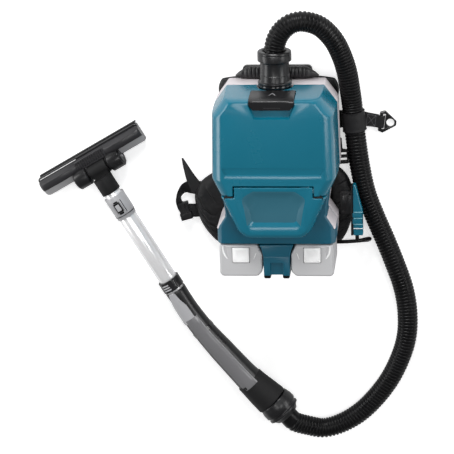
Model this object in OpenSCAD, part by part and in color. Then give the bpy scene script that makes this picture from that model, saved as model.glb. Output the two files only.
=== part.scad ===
// Cordless backpack vacuum cleaner, laid on its back: millimetres, +Z up from
// the floor and out through the cover, +Y towards the hose inlet.

/* [Unit body] */
// Width of the unit at its widest
body_w = 228; // [200:1:270]
// Distance from the origin up to the top wall
body_top = 152; // [135:1:180]
// Distance from the origin down to the battery deck
body_base = 131; // [125:1:150]
// Depth of the white rear shell
shell_d = 48; // [40:1:60]
// Depth of the dust cover in front of the rear shell
cover_d = 104; // [90:1:125]
// Depth of the motor housing in front of the rear shell
housing_d = 66; // [60:1:80]
// Wall of the moulded shells
wall = 3; // [2:0.5:4]
// Length of the stand foot below the deck
foot_l = 64; // [50:1:75]

/* [Batteries] */
// Width of a battery
bat_w = 78; // [60:1:85]
// Height of a battery below the deck
bat_h = 61; // [50:1:75]
// Length of a battery along the slide
bat_l = 112; // [92:1:112]
// Distance between the inner faces of the two batteries
bat_gap = 52; // [48:1:60]

/* [Harness] */
// Thickness of the back pads
pad_t = 28; // [20:1:35]
// Thickness of the back frame
frame_t = 8; // [5:1:10]

/* [Hose and inlet] */
// Outer diameter of the hose over its ribs
hose_d = 38; // [32:1:40]
// Bore of the hose
hose_bore = 30; // [24:1:30]
// Number of ribs on the hose
hose_ribs = 176; // [120:1:180]
// Outer diameter of the inlet cuff body
cuff_d = 54; // [50:1:58]
// Length of the inlet cuff
cuff_l = 60; // [50:1:72]

/* [Wand] */
// Outer diameter of the outer tube
tube_d = 35; // [32:0.5:38]
// Wall of both tubes
tube_wall = 1.5; // [1:0.25:2]
// Length of the outer tube
tube_l = 205; // [170:1:245]
// Travel of the inner tube
tube_travel = 110; // [80:1:130]
// Width of the floor nozzle
nozzle_w = 220; // [180:1:280]
// Depth of the nozzle body, front to rear
nozzle_d = 40; // [34:1:48]
// Height of the nozzle body
nozzle_h = 32; // [26:1:38]
// Diameter of a nozzle wheel
wheel_d = 37; // [32:1:40]
// Width of a nozzle wheel
wheel_w = 28; // [20:1:32]

/* [Hidden] */
$fn = 48;

teal = [0.05, 0.44, 0.55];
teal_dark = [0.04, 0.36, 0.45];
white = [0.88, 0.87, 0.86];
ghost = [0.74, 0.74, 0.74];
black = [0.06, 0.06, 0.07];
grey = [0.45, 0.45, 0.48];
cloth = [0.10, 0.10, 0.11];
metal = [0.86, 0.87, 0.88];

// Clearances: between parts that only lie beside each other, between a
// shaft and its hole, and between a soft part and its neighbour.
gap = 0.5;
run = 0.05;
soft_gap = 0.3;

// Levels above the floor
z_frame = pad_t;
z_shell = z_frame + frame_t;
z_seam = z_shell + shell_d;
z_house = z_seam + housing_d;
z_front = z_seam + cover_d;

hw = body_w / 2;
// Half outline of the rear shell, from the top wall down the right side
shell_half = [[hw - 26, body_top], [hw - 3, body_top - 32], [hw, 2],
  [hw - 14, -28], [hw - 22, -76], [hw - 6, -100], [hw - 6, -body_base]];
// The tab of the front panel rises into a notch of the cover
tab_x = 0.62 * hw;
tab_top = -10;
cover_low = -28;
panel_low = -109;
panel_top = cover_low - 2.5;
cover_half = [[hw - 26, body_top], [hw - 3, body_top - 32], [hw, 2],
  [hw - 14, cover_low], [tab_x + 1, cover_low], [tab_x + 1, tab_top + 1.5]];

function mirrored(p) = concat(p, [for (i = [len(p) - 1:-1:0]) [-p[i][0], p[i][1]]]);
module both() { children(); mirror([1, 0, 0]) children(); }
module outline(half, r = 5)
  offset(r = r, $fn = 24) offset(delta = -r) polygon(mirrored(half));
// A slab between two levels
module slab(z0, z1) translate([0, 0, z0]) linear_extrude(z1 - z0) children();
// Profile of (y, z) points drawn out along X
module along_x(w) rotate([90, 0, 90]) linear_extrude(w, center = true) children();
module along_x_at(x0, w) translate([x0 + w / 2, 0, 0]) along_x(w) children();
// Profile of (x, z) points drawn out along Y
module along_y(y0, y1) translate([0, y1, 0]) rotate([90, 0, 0])
  linear_extrude(y1 - y0) children();
// A cylinder or a tube along +Y
module y_rod(r, y0, y1) translate([0, y0, 0]) rotate([-90, 0, 0]) cylinder(h = y1 - y0, r = r);
module x_rod(r, x0, x1) translate([x0, 0, 0]) rotate([0, 90, 0]) cylinder(h = x1 - x0, r = r);

// ---- lofts: rings of points along a route ----
function unit(v) = v / norm(v);
function tangent(p, i) = unit(i == 0 ? p[1] - p[0]
  : i == len(p) - 1 ? p[i] - p[i - 1] : unit(p[i + 1] - p[i]) + unit(p[i] - p[i - 1]));
// Side and upward vectors of a ring, level with the floor as far as it can be
function side(t) = unit(cross(t, [0, 0, 1]));
function ring(c, t, w, h, n, e = 1) = let (s = side(t), u = cross(s, t))
  [for (k = [0:n - 1]) let (a = 360 * (k + 0.5) / n, ca = cos(a), sa = sin(a))
    c + s * (w / 2 * sign(ca) * pow(abs(ca), e)) + u * (h / 2 * sign(sa) * pow(abs(sa), e))];
// Triangles that join ring after ring of n points, with an end face at each end
function skin(m, n, base = 0) = [for (i = [0:m - 2], k = [0:n - 1], f = [0, 1])
  let (a = base + i * n + k, b = base + i * n + (k + 1) % n)
  f == 0 ? [a, a + n, b] : [b, a + n, b + n]];
function fan(n, base, flip) = [for (k = [1:n - 2])
  flip ? [base, base + k + 1, base + k] : [base, base + k, base + k + 1]];
// Closed loft through rings given as a list of point lists
module loft(rings) {
  n = len(rings[0]);
  m = len(rings);
  polyhedron(points = [for (r = rings) each r],
    faces = concat(skin(m, n), fan(n, 0, false), fan(n, (m - 1) * n, true)));
}
// Tube: outer rings and inner rings on one route, joined at both ends
module pipe(outer, inner) {
  n = len(outer[0]);
  m = len(outer);
  k = len(inner);
  base = m * n;
  flipped = [for (f = skin(k, n, base)) [f[0], f[2], f[1]]];
  ends = [for (j = [0:n - 1], f = [0, 1])
    let (a = j, b = (j + 1) % n, c = base + j, d = base + (j + 1) % n)
    f == 0 ? [a, b, c] : [b, d, c]];
  far = [for (j = [0:n - 1], f = [0, 1])
    let (a = (m - 1) * n + j, b = (m - 1) * n + (j + 1) % n,
      c = base + (k - 1) * n + j, d = base + (k - 1) * n + (j + 1) % n)
    f == 0 ? [a, c, b] : [b, c, d]];
  polyhedron(points = concat([for (r = outer) each r], [for (r = inner) each r]),
    faces = concat(skin(m, n), flipped, ends, far));
}
// Open bag: outer and inner rings joined at the mouth, closed at the far end
module cup(outer, inner) {
  n = len(outer[0]);
  m = len(outer);
  k = len(inner);
  base = m * n;
  flipped = [for (f = skin(k, n, base)) [f[0], f[2], f[1]]];
  mouth = [for (j = [0:n - 1], f = [0, 1])
    let (a = j, b = (j + 1) % n, c = base + j, d = base + (j + 1) % n)
    f == 0 ? [a, b, c] : [b, d, c]];
  polyhedron(points = concat([for (r = outer) each r], [for (r = inner) each r]),
    faces = concat(skin(m, n), flipped, mouth, fan(n, (m - 1) * n, true),
      fan(n, base + (k - 1) * n, false)));
}
// Lengths along a route and the point at a length
function lengths(p, i = 0, s = 0) = i == len(p) - 1 ? [s]
  : concat([s], lengths(p, i + 1, s + norm(p[i + 1] - p[i])));
function at(p, L, s, i = 0) = i >= len(p) - 2 || s <= L[i + 1]
  ? p[i] + (p[i + 1] - p[i]) * ((s - L[i]) / (L[i + 1] - L[i])) : at(p, L, s, i + 1);
// Heading at a length, taken over a short stretch
function heading(p, L, s, total) = unit(at(p, L, min(s + 3, total)) - at(p, L, max(s - 3, 0)));
// Smooth curve through chosen points
function catmull(p, k) = [for (i = [0:len(p) - 2], j = [0:k - 1])
    let (t = j / k, a = p[max(i - 1, 0)], b = p[i], c = p[i + 1], d = p[min(i + 2, len(p) - 1)])
    0.5 * (2 * b + (c - a) * t + (2 * a - 5 * b + 4 * c - d) * t * t
      + (3 * b - a - 3 * c + d) * t * t * t)];
// Value part of the way along a list
function mix(a, x) = let (j = min(floor(x), len(a) - 2)) a[j] + (a[j + 1] - a[j]) * (x - j);
function curve(p, k) = concat(catmull(p, k), [p[len(p) - 1]]);

// ---- harness ----
function pad_edge(q) = pow(max(0, 1 - pow(abs(q), 4)), 0.5);
function pad_seam(v, n) = 1 - 0.35 * exp(-pow(abs(sin(90 * (v + 1) * n)) * 4, 2));
function pad_half(u, v, t, n) = t / 2 * (0.35 + 0.65 * pad_edge(u) * pad_edge(v) * pad_seam(v, n));
// A sewn pad: crowned, drawn in at its edges, with channels across it, flat underneath
module pad(w, l, t, channels, nu = 10, nv = 16) {
  us = [for (i = [0:nu]) -1 + 2 * i / nu];
  vs = [for (j = [0:nv]) -1 + 2 * j / nv];
  top = [for (v = vs, u = us) [u * w / 2 * (1 - 0.04 * v * v), v * l / 2 * (1 - 0.03 * u * u),
    t / 2 + pad_half(u, v, t, channels)]];
  low = [for (v = vs, u = us) [u * w / 2 * (1 - 0.04 * v * v), v * l / 2 * (1 - 0.03 * u * u),
    t / 2 - 1.25 * pad_half(u, v, t, channels)]];
  k = nu + 1;
  n = k * (nv + 1);
  body = [for (j = [0:nv - 1], i = [0:nu - 1], f = [0:3])
    let (a = j * k + i, b = a + 1, c = a + k, d = c + 1)
    f == 0 ? [a, c, b] : f == 1 ? [b, c, d] : f == 2 ? [n + a, n + b, n + c] : [n + b, n + d, n + c]];
  rim = concat([for (i = [0:nu - 1]) i], [for (j = [0:nv - 1]) j * k + nu],
    [for (i = [nu:-1:1]) nv * k + i], [for (j = [nv:-1:1]) j * k]);
  wallf = [for (q = [0:len(rim) - 1], f = [0, 1])
    let (a = rim[q], b = rim[(q + 1) % len(rim)])
    f == 0 ? [a, b, n + a] : [b, n + b, n + a]];
  difference() {
    polyhedron(points = concat(top, low), faces = concat(body, wallf));
    translate([-w, -l, -t]) cube([2 * w, 2 * l, t]);
  }
}
module back_pad_upper() color(cloth) translate([0, 79, 0]) pad(146, 104, z_frame - soft_gap, 3);
module back_pad_lower() color(cloth) translate([0, -49.5, 0]) pad(146, 143, z_frame - soft_gap, 4, 9);

grip_w = 96;
module back_frame() color(black) difference() {
  slab(z_frame, z_shell) difference() {
    offset(r = 8, $fn = 24) offset(delta = -8)
      polygon(mirrored([[hw - 52, body_top + 23], [hw - 46, body_top - 6], [hw - 18, body_top - 46],
        [hw - 18, 10], [hw - 34, -40], [hw - 34, -118]]));
    // hand slot under the carry handle
    translate([-grip_w / 2, body_top - 28]) square([grip_w, 24]);
    // lightening slots between the ribs of the frame
    for (y = [-84, -36, 12, 60]) translate([-35, y]) offset(r = 5, $fn = 24) square([70, 22]);
  }
}

// Sleeve round the top bar of the frame, with grip ribs
module carry_handle() color(black) {
  y0 = body_top + 1;
  d = 23;
  translate([0, y0 + d / 2, z_shell + 7]) difference() {
    intersection() {
      rotate([0, 90, 0]) cylinder(h = 152, r = d / 2, center = true);
      cube([152, d, 14], center = true);
    }
    for (i = [-5:5]) translate([i * 9, 0, d / 2 - 5]) rotate([90, 0, 0])
      cylinder(h = d + 2, r = 2.6, center = true);
  }
}

// Padded strap section: width, thickness and a crowned edge
module strap(route, widths, thick, n = 8, e = 0.6) {
  loft([for (i = [0:len(route) - 1]) ring(route[i], tangent(route, i), widths[i], thick[i], n, e)]);
}
strap_route = [[52, 146, 14], [72, 154, 14], [90, 148, 14], [96, 124, 14], [95.5, 92, 14],
  [94, 40, 13], [92, -10, 12]];
strap_w = [34, 40, 40, 32, 20, 16, 16];
strap_h = [18, 25, 28.4, 28.4, 28, 18, 12];
module shoulder_strap_right() color(cloth) strap(strap_route, strap_w, strap_h);
module shoulder_strap_left() color(cloth) mirror([1, 0, 0]) strap(strap_route, strap_w, strap_h);

module hip_wing_right() color(cloth)
  strap([[94, -30, 14], [104, -48, 14], [110, -70, 14], [111, -92, 14], [109, -118, 14],
    [104, -146, 14], [101, -168, 14]], [34, 46, 51, 53, 49, 40, 24],
    [28.7, 28.7, 28.7, 28.7, 27, 22, 10]);
wing_left = [[-104, -42, 14], [-110, -54, 14], [-119, -68, 14], [-123, -83, 14], [-120.5, -104, 14],
  [-118.5, -122, 14], [-116, -135, 14], [-113, -149, 14], [-112, -163, 14], [-111, -174, 14]];
module hip_wing_left() color(cloth)
  strap(wing_left, [44, 58, 76, 84, 81, 73, 64, 54, 36, 16],
    [20, 26, 28.7, 28.7, 28.7, 28.7, 28, 26, 20, 10]);
// Belt webbing of the left wing: a wide loop that turns on its edge at the far side
belt_loop = [[-150, -68, 8], [-166, -66, 8], [-179, -67.5, 8], [-188.5, -75.5, 8], [-193.5, -87, 8],
  [-191.5, -98, 8], [-184.5, -107, 8], [-173, -111, 8], [-160, -111.5, 8], [-150, -111, 8]];
belt_w = [28, 28, 25, 15, 7, 8, 16, 25, 26, 26];
belt_h = [5, 5, 5, 6, 8, 5, 5, 5, 5, 5];
module belt_left() color(cloth)
  loft([for (i = [0:len(belt_loop) - 1])
    ring(belt_loop[i], tangent(belt_loop, i), belt_w[i], belt_h[i], 8, 0.4)]);
module belt_fold_left() color(cloth)
  strap([[-169, -57, 13.6], [-167.5, -48, 13.8], [-167, -37, 14], [-173, -24, 11], [-180, -9, 7]],
    [16, 20, 20, 16, 6], [6, 6, 8, 8, 4]);
// Female half of the side-release buckle, with its two side windows
module waist_buckle() color(black) translate([-181, -110, 15.2]) rotate([0, 0, 106])
  difference() {
    cube([34, 22, 9], center = true);
    for (s = [-1, 1]) {
      translate([4, s * 12, 0]) cube([16, 6, 11], center = true);
      translate([4, s * 4, 4.5]) cube([20, 3, 3], center = true);
    }
  }
module strap_adjuster() color(black) translate([114, 6, 11]) rotate([0, 0, 4]) {
  cube([22, 50, 4], center = true);
  for (y = [-21, -7, 7, 21]) translate([0, y, 3.4]) cube([22, 5, 3], center = true);
}

// ---- hose band with its ring ----
band_at = [137, 67, 22];
band_l = 36;
band_dir = [0.10, -0.99, 0];
band_ang = atan2(band_dir[0], -band_dir[1]);
band_r = hose_d / 2 + 1;
web_ang = -8;
module hose_band() color(cloth) translate(band_at) difference() {
  union() {
    rotate([0, 0, band_ang]) {
      rotate([90, 0, 0]) cylinder(h = band_l, r = band_r + 2, center = true);
      translate([-band_r - 10, -band_l / 2, -band_at[2] + 1]) cube([12, band_l, 4]);
      translate([-band_r, -band_l / 2, -band_at[2] + 1]) cube([2 * band_r, band_l, 6]);
    }
    // webbing out to the ring, through its slot and back
    rotate([0, 0, web_ang]) translate([0, 0, -band_at[2] + 1]) {
      translate([band_r - 4, -band_l / 2 + 4, 0]) cube([29.5, band_l - 8, 4]);
      translate([band_r + 15, -band_l / 2 + 6, 0]) cube([10.5, band_l - 12, 7]);
      translate([band_r + 15, -band_l / 2 + 6, 5]) cube([20.5, band_l - 12, 2]);
      translate([band_r + 33.4, -band_l / 2 + 6, 0]) cube([2.1, band_l - 12, 6]);
    }
  }
  rotate([0, 0, band_ang]) rotate([90, 0, 0]) cylinder(h = band_l + 2, r = band_r, center = true);
}
// Triangular ring: a slot bar for the webbing and a round eye
ring_hole_r = 7.5;
module ring_buckle() color(black)
  translate([band_at[0], band_at[1], 0]) rotate([0, 0, web_ang]) translate([band_r + 23, 0, 0])
  slab(0, 5.5) difference() {
    offset(r = 3, $fn = 24) offset(delta = -3)
      polygon([[3, 18], [3, -18], [12, -21], [35, -4], [35, 4], [12, 21]]);
    translate([9.3, -15]) square([4.6, 30]);
    translate([24, 0]) circle(r = ring_hole_r);
  }

// ---- control pod on the right wing ----
pod_at = [142, -94.5, 42];
pod_l = 100;
pod_w = 22.5;
pod_h = 15;
key_w = 17;
key_l = 9.4;
rib_y = [-3.9, -15.7, -27.4, -35.5];
module control_pod() color(teal) translate(pod_at) difference() {
  union() {
    rotate([90, 0, 90]) linear_extrude(pod_w, center = true)
      offset(r = 2, $fn = 24) offset(delta = -2)
      polygon([[-pod_l / 2, 0], [-pod_l / 2, pod_h], [pod_l / 2 - 6, pod_h], [pod_l / 2, pod_h - 4],
        [pod_l / 2, 0]]);
    // ribs above, between and below the two keys
    for (y = rib_y) translate([2 - pod_w / 2, y - 0.7, pod_h - 1]) cube([pod_w - 2, 1.4, 2.2]);
  }
  for (i = [0, 1]) translate([1 - key_w / 2 - 0.3, (rib_y[i] + rib_y[i + 1]) / 2 - key_l / 2 - 0.3, pod_h - 5])
    cube([key_w + 0.6, key_l + 0.6, 7]);
  translate([0, -pod_l / 2 - 1, 6]) rotate([-90, 0, 0]) cylinder(h = 9, r = 3.7);
}
module pod_key(i) color(teal) translate(pod_at + [1, (rib_y[i] + rib_y[i + 1]) / 2, pod_h - 3.8])
  linear_extrude(4.6) square([key_w, key_l], center = true);
// Clip that carries the pod on the padded wing
module pod_clip() color(black) translate([124, -88, 0]) difference() {
  union() {
    slab(z_frame, z_frame + 4) square([26, 44], center = true);
    translate([8, 0, 0]) slab(z_frame, pod_at[2]) square([10, 34], center = true);
  }
  for (y = [-1, 1]) translate([-8, y * 15, z_frame + 2]) cylinder(h = 3, r = 2.5);
}

// ---- control cable ----
cable_d = 7;
cable_y = -body_base - 9;
cable_pts = [[14, cable_y, 47], [14, cable_y - 7, 47], [15.5, cable_y - 15, 42], [20, cable_y - 20, 30],
  [38, cable_y - 27, 16], [68, -172, 8], [99, -174, 5], [128, -173, 5], [150, -171, 5], [161, -168, 10],
  [164, -162, 21], [159, -158, 34], [150, -157, 44], [142.8, -156, 48], [142, -149, 48],
  [142, -139.8, 48]];
module control_cable() color(black) {
  p = curve(cable_pts, 5);
  loft([for (i = [0:len(p) - 1]) ring(p[i], tangent(p, i), cable_d, cable_d, 8)]);
}
// Strain relief on the deck wall of the rear shell, between the batteries
module cable_gland() color(black) translate([14, -body_base, 47]) rotate([90, 0, 0])
  rotate_extrude() polygon([[0, 0], [7, 0], [7, 3], [5, 4], [5, 9], [0, 9]]);

// ---- hose ----
port_z = z_shell + 56;
cuff_end = body_top + 6 + cuff_l;
socket = 38;
end_ring = [-11, -496, 34];
cuff_dir = unit([14.5, -16.5, 0]);
hose_pts = [[0, cuff_end - socket, port_z], [0, cuff_end - 20, port_z], [0, cuff_end - 2, port_z],
  [4, cuff_end + 18, port_z], [14, 253, 92], [31, 266, 91], [55, 269, 88], [82, 258, 80],
  [104, 232, 69], [118, 200, 57], [127, 165, 45], [132, 124, 32], [134.5, 98, 24.5],
  [137, 67, 22], [140, 36, 22], [147, -19, 20], [157.5, -71, 20], [174, -118, 20],
  [193, -165, 20], [211, -213, 20], [226, -260, 20],
  [233, -308, 20], [231, -357, 20], [217, -405, 20], [192, -454, 20], [153, -502, 20],
  [114, -531, 20], [75, -544, 22], [42, -537, 28], end_ring + 40 * cuff_dir,
  end_ring + 21 * cuff_dir, end_ring + 2 * cuff_dir];
hose_sides = 8;
module hose() color(black) {
  p = curve(hose_pts, 8);
  L = lengths(p);
  total = L[len(L) - 1];
  ends = hose_d;
  pitch = (total - 2 * ends) / hose_ribs;
  // crest and root of each rib, then a plain end
  s_out = concat([0, ends], [for (i = [1:hose_ribs - 1], f = [0.25, 0.75]) ends + (i + f) * pitch],
    [total - ends + 1.5 * pitch, total]);
  s_in = [for (i = [0:60]) total * i / 60];
  outer = [for (i = [0:len(s_out) - 1]) let (s = min(s_out[i], total),
      d = i < 2 || i > len(s_out) - 3 ? hose_d : i % 2 == 0 ? hose_d : hose_d - 3)
    ring(at(p, L, s), heading(p, L, s, total), d, d, hose_sides)];
  inner = [for (s = s_in) ring(at(p, L, s), heading(p, L, s, total), hose_bore, hose_bore, hose_sides)];
  pipe(outer, inner);
}

// ---- handle and wand ----
wand_ang = 30.2;
wand_at = [-289, -111, 34];
module wand_frame() translate(wand_at) rotate([0, 0, wand_ang]) children();
tube_end = 5 - tube_l;
// Point on the wand's axis at a distance from its origin towards the handle
function wand_pt(s) = wand_at + s * [sin(wand_ang), -cos(wand_ang), 0];
handle_pts = [wand_pt(172), wand_pt(196), wand_pt(220), [-152, -339.5, 34], [-119, -380, 34],
  [-82.5, -423, 34], [-54, -454.5, 34], [-26, -482, 34]];
handle_w = [41, 40, 41, 43, 48, 50, 54, 60];
handle_h = [41, 40, 41, 43, 46, 48, 54, 60];
handle_wall = 2;
module handle_shell() color(black) {
  k = 3;
  p = curve(handle_pts, k);
  pipe([for (i = [0:len(p) - 1]) ring(p[i], tangent(p, i), mix(handle_w, i / k), mix(handle_h, i / k), 20)],
    [for (i = [0:len(p) - 1]) ring(p[i], tangent(p, i), mix(handle_w, i / k) - 2 * handle_wall,
      mix(handle_h, i / k) - 2 * handle_wall, 20)]);
}
// Soft inlay that lies on the upper side of the grip
module grip_inlay() color(grey) {
  k = 3;
  p = curve([for (i = [2:6]) handle_pts[i]], k);
  loft([for (i = [1:len(p) - 2]) let (w = mix(handle_w, 2 + i / k) / 2 + 0.5,
      h = mix(handle_h, 2 + i / k) / 2 + 0.5, t = tangent(p, i), s = side(t), u = cross(s, t))
    concat([for (a = [55:10:125]) p[i] + s * (w + 1.2) * cos(a) + u * (h + 1.2) * sin(a)],
      [for (a = [125:-10:55]) p[i] + s * w * cos(a) + u * h * sin(a)])]);
}
cuff_ang = atan2(cuff_dir[0], -cuff_dir[1]);
// Swelling end cuff of the handle that takes the hose
module handle_cuff() color(black) translate(end_ring) rotate([0, 0, cuff_ang]) rotate([90, 0, 0])
  rotate_extrude() polygon([[16, -18], [31, -18], [34, -6], [34, 4], [31, 5], [31, 9], [33, 10],
    [33, 13], [29, 14], [24, 22], [hose_d / 2 + 0.5, 22], [hose_d / 2 + 0.5, 2], [16, 2]]);
module tube_outer() color(metal) wand_frame() translate([0, 0, 0]) difference() {
  y_rod(tube_d / 2, tube_end, 5);
  y_rod(tube_d / 2 - tube_wall, tube_end - 1, 6);
}
inner_r = tube_d / 2 - tube_wall - run;
neck_end = 52;
neck_socket = 20;
module tube_inner() color(metal) wand_frame() difference() {
  y_rod(inner_r, tube_end + 56, neck_end + neck_socket);
  y_rod(inner_r - tube_wall, tube_end + 55, neck_end + neck_socket + 1);
}
collar_r = tube_d / 2 + 2.5;
module tube_collar() color(grey) wand_frame() difference() {
  union() {
    y_rod(collar_r, 5, 44);
    y_rod(collar_r - 1, -3, 5);
    translate([0, 22, 13]) cube([19, 30, 14], center = true);
  }
  y_rod(inner_r + 0.4, 4.9, 45);
  y_rod(tube_d / 2, -4, 5);
  translate([-6.5, 12, inner_r + 1]) cube([13, 20, 12]);
}
module collar_button() color(black) wand_frame() difference() {
  translate([-6, 12.5, inner_r + 3]) cube([12, 19, 3.5]);
  for (y = [17, 22, 27]) translate([-7, y - 0.6, inner_r + 5.9]) cube([14, 1.2, 1]);
}
// Ring that opens the air bleed on the handle's neck
module air_slider() color(grey) wand_frame() translate([0, -158, 0]) difference() {
    y_rod(tube_d / 2 + 3.4, -10, 10);
    y_rod(tube_d / 2 + run, -11, 11);
    translate([-5, -6, 10]) cube([10, 12, 12]);
    for (a = [-40, 40]) rotate([0, a, 0]) translate([-3, -7, 15]) cube([2, 14, 8]);
  }

// ---- floor nozzle, in the wand's frame with +Y ahead ----
axle_y = 98;
axle_z = wheel_d / 2 - wand_at[2];
ear_x = 18.5;
ear_t = 4;
nozzle_x = -5;
nozzle_y0 = 136 - nozzle_d + 2;
floor_z = -wand_at[2];
mouth_y = 114;
mouth_d = 14;
module nozzle_neck() color(black) wand_frame() difference() {
  union() {
    y_rod(tube_d / 2 + 1, neck_end, axle_y - 14);
    // elbow down to the drum between the ears
    translate([-15, axle_y - 22, axle_z]) cube([30, 22, 14]);
    translate([0, axle_y, axle_z]) x_rod(15, -ear_x + gap, ear_x - gap);
  }
  y_rod(inner_r, neck_end - 1, neck_end + neck_socket);
  y_rod(inner_r - tube_wall, neck_end - 1, axle_y - 20);
  translate([0, axle_y, axle_z]) x_rod(4 + run, -30, 30);
}
// Body: a long wedge with a step for the rear band and comb vents
module nozzle_body() color(black) wand_frame() translate([nozzle_x, 0, 0]) {
  difference() {
    union() {
      difference() {
        intersection() {
          translate([0, 0, floor_z + 4]) rotate([90, 0, 90]) linear_extrude(nozzle_w, center = true)
            polygon([[nozzle_y0, 0], [138, 0], [138, 6], [130, 16], [nozzle_y0 + 12, nozzle_h - 4],
              [nozzle_y0, nozzle_h - 10]]);
          translate([0, 0, floor_z]) linear_extrude(nozzle_h + 2) offset(r = 6, $fn = 24)
            offset(delta = -6) polygon([[-nozzle_w / 2, 138], [nozzle_w / 2, 138],
              [nozzle_w / 2 + 2, 118], [nozzle_w / 2 - 6, 106], [52, nozzle_y0],
              [-42, nozzle_y0], [6 - nozzle_w / 2, 106], [-nozzle_w / 2 - 2, 118]]);
        }
        // suction mouth underneath
        translate([-nozzle_w / 2 + 12, mouth_y, floor_z + 3]) cube([nozzle_w - 24, mouth_d, 9]);
        // comb of air slots in the top
        for (i = [-5:5]) translate([i * 5 - 1 - nozzle_x, 116, floor_z + 14]) cube([2, 14, 20]);
        for (s = [-1, 1]) translate([-nozzle_x + s * (ear_x + ear_t + wheel_w / 2 + 1), axle_y, axle_z])
          x_rod(wheel_d / 2 + 1, -wheel_w / 2 - 1.5, wheel_w / 2 + 1.5);
        translate([-nozzle_x, axle_y, axle_z]) x_rod(18, -ear_x, ear_x);
        translate([-nozzle_x - ear_x, axle_y - 14, axle_z]) cube([2 * ear_x, 15, 40]);
      }
      for (s = [-1, 1]) translate([-nozzle_x + s * (ear_x + ear_t / 2), axle_y, axle_z]) {
        x_rod(9, -ear_t / 2, ear_t / 2);
        translate([-ear_t / 2, 0, -9]) cube([ear_t, 12, 18]);
      }
    }
    translate([-nozzle_x, axle_y, axle_z]) x_rod(4, -40, 40);
  }
}
module sole_plate() color(grey) wand_frame() translate([nozzle_x, 0, floor_z]) difference() {
  translate([-nozzle_w / 2 + 4, mouth_y - 3, 0]) cube([nozzle_w - 8, 138 - mouth_y + 3, 4]);
  translate([-nozzle_w / 2 + 12, mouth_y, -1]) cube([nozzle_w - 24, mouth_d, 6]);
}
module brush_strips() color(black) wand_frame() translate([nozzle_x, 0, floor_z])
  for (i = [0:21]) translate([-nozzle_w / 2 + 6 + i * (nozzle_w - 16) / 21, 138.3, 0])
    cube([4 + (nozzle_w - 16) / 21 - 4.6, 2, 9]);
module nozzle_axle() color(metal) wand_frame() translate([0, axle_y, axle_z])
  x_rod(4, -ear_x - ear_t - wheel_w - 1, ear_x + ear_t + wheel_w + 1);
module wheel() rotate([0, 90, 0]) rotate_extrude()
  polygon([[4 + run, 0], [wheel_d / 2 - 2, 0], [wheel_d / 2, 2], [wheel_d / 2, wheel_w - 3],
    [wheel_d / 2 - 4, wheel_w], [4 + run, wheel_w]]);
module wheel_right() color(black) wand_frame()
  translate([ear_x + ear_t + gap, axle_y, axle_z]) wheel();
module wheel_left() color(black) wand_frame()
  translate([-ear_x - ear_t - gap, axle_y, axle_z]) mirror([1, 0, 0]) wheel();

// ---- shells ----
port_r = 29.5;
duct_r = 24;
motor_z = z_seam + 10;
duct_hole = 26;
module inlet_axis() translate([0, 0, port_z]) children();
module rear_shell() color(white) difference() {
  union() {
    difference() {
      slab(z_shell, z_seam) outline(shell_half);
      slab(z_shell + wall, z_seam + 1) offset(delta = -wall) outline(shell_half);
    }
    // bulkhead between the dust chamber and the motor room
    intersection() {
      slab(z_shell, z_seam) outline(shell_half);
      translate([-hw, tab_top - 1 - wall, z_shell]) cube([2 * hw, wall, shell_d]);
    }
    // saddle under the inlet port
    intersection() {
      translate([-port_r - 6, body_top - 18, z_shell]) cube([2 * port_r + 12, 18, shell_d]);
      slab(z_shell, z_seam) outline(shell_half);
    }
    // screw pillars
    for (s = [-1, 1], y = [-92, body_top - 46]) translate([s * (hw - 20), y, z_shell])
      cylinder(h = shell_d - 2, r = 5);
  }
  inlet_axis() y_rod(port_r + 0.1, body_top - 30, body_top + 10);
  translate([0, 0, motor_z]) y_rod(duct_hole, tab_top - wall - 3, tab_top + 2);
  for (s = [-1, 1], y = [-92, body_top - 46]) translate([s * (hw - 20), y, z_shell - 1])
    cylinder(h = shell_d, r = 2);
  // exhaust louvres in both side walls of the motor room
  both() for (i = [0:4]) translate([hw - 14, -body_base + 6 + i * 5, z_shell + 9])
    cube([20, 2.5, shell_d - 18]);
}
latch_w = 80;
latch_t = 4.4;
latch_y = body_top - 2.6;
latch_front = latch_y + latch_t / 2 + 1.6;
latch_z = port_z + 40;
latch_drop = 21;
recess_drop = 35;
module cover_form(t) intersection() {
  slab(z_seam - (t > 0 ? 1 : 0), z_front - t) offset(delta = -t) outline(cover_half, 3);
  along_y(-60, body_top + 10)
    polygon(mirrored([[hw + 1 - t, z_seam - 1], [hw - 1 - t, z_front - 32], [hw - 8 - t, z_front - 10],
      [hw - 22 - t, z_front - t]]));
  along_x(body_w + 10)
    polygon([[-60, z_seam - 1], [body_top - t, z_seam - 1], [body_top - 1 - t, z_front - 12],
      [body_top - 5 - t, z_front - 4 - t], [body_top - 9 - t, z_front - t], [-60, z_front - t]]);
}
// Pocket for the latch over the top edge; grow thickens the wall round it
module latch_pocket(grow = 0) {
  g = grow;
  translate([-latch_w / 2 - 1 - g, body_top - 5 - g, latch_z - 3.4 - g])
    cube([latch_w + 2 + 2 * g, 20, 200]);
  slab(z_front - 8 - g, z_front + 2) offset(delta = g)
    polygon(mirrored([[latch_w / 2 + 1, body_top + 4], [latch_w / 2 + 1, body_top - 10],
      [latch_w / 2 - 11, body_top - recess_drop]]));
}
hinge_y = (cover_low + panel_top) / 2;
knuckle_r = 3;
hinge_z = z_front - knuckle_r;
pin_r = 1.5;
knuckle_x0 = tab_x + 5;
knuckle_x1 = tab_x + 15;
lug_x = [[knuckle_x0 - 3.4, knuckle_x0 - 0.4], [knuckle_x1 + 0.4, knuckle_x1 + 3]];
// Room round the barrels that turn past the other side's edge
module barrel_room(x0, x1) translate([0, hinge_y, hinge_z]) x_rod(knuckle_r + 0.4, x0 - 0.4, x1 + 0.4);
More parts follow.
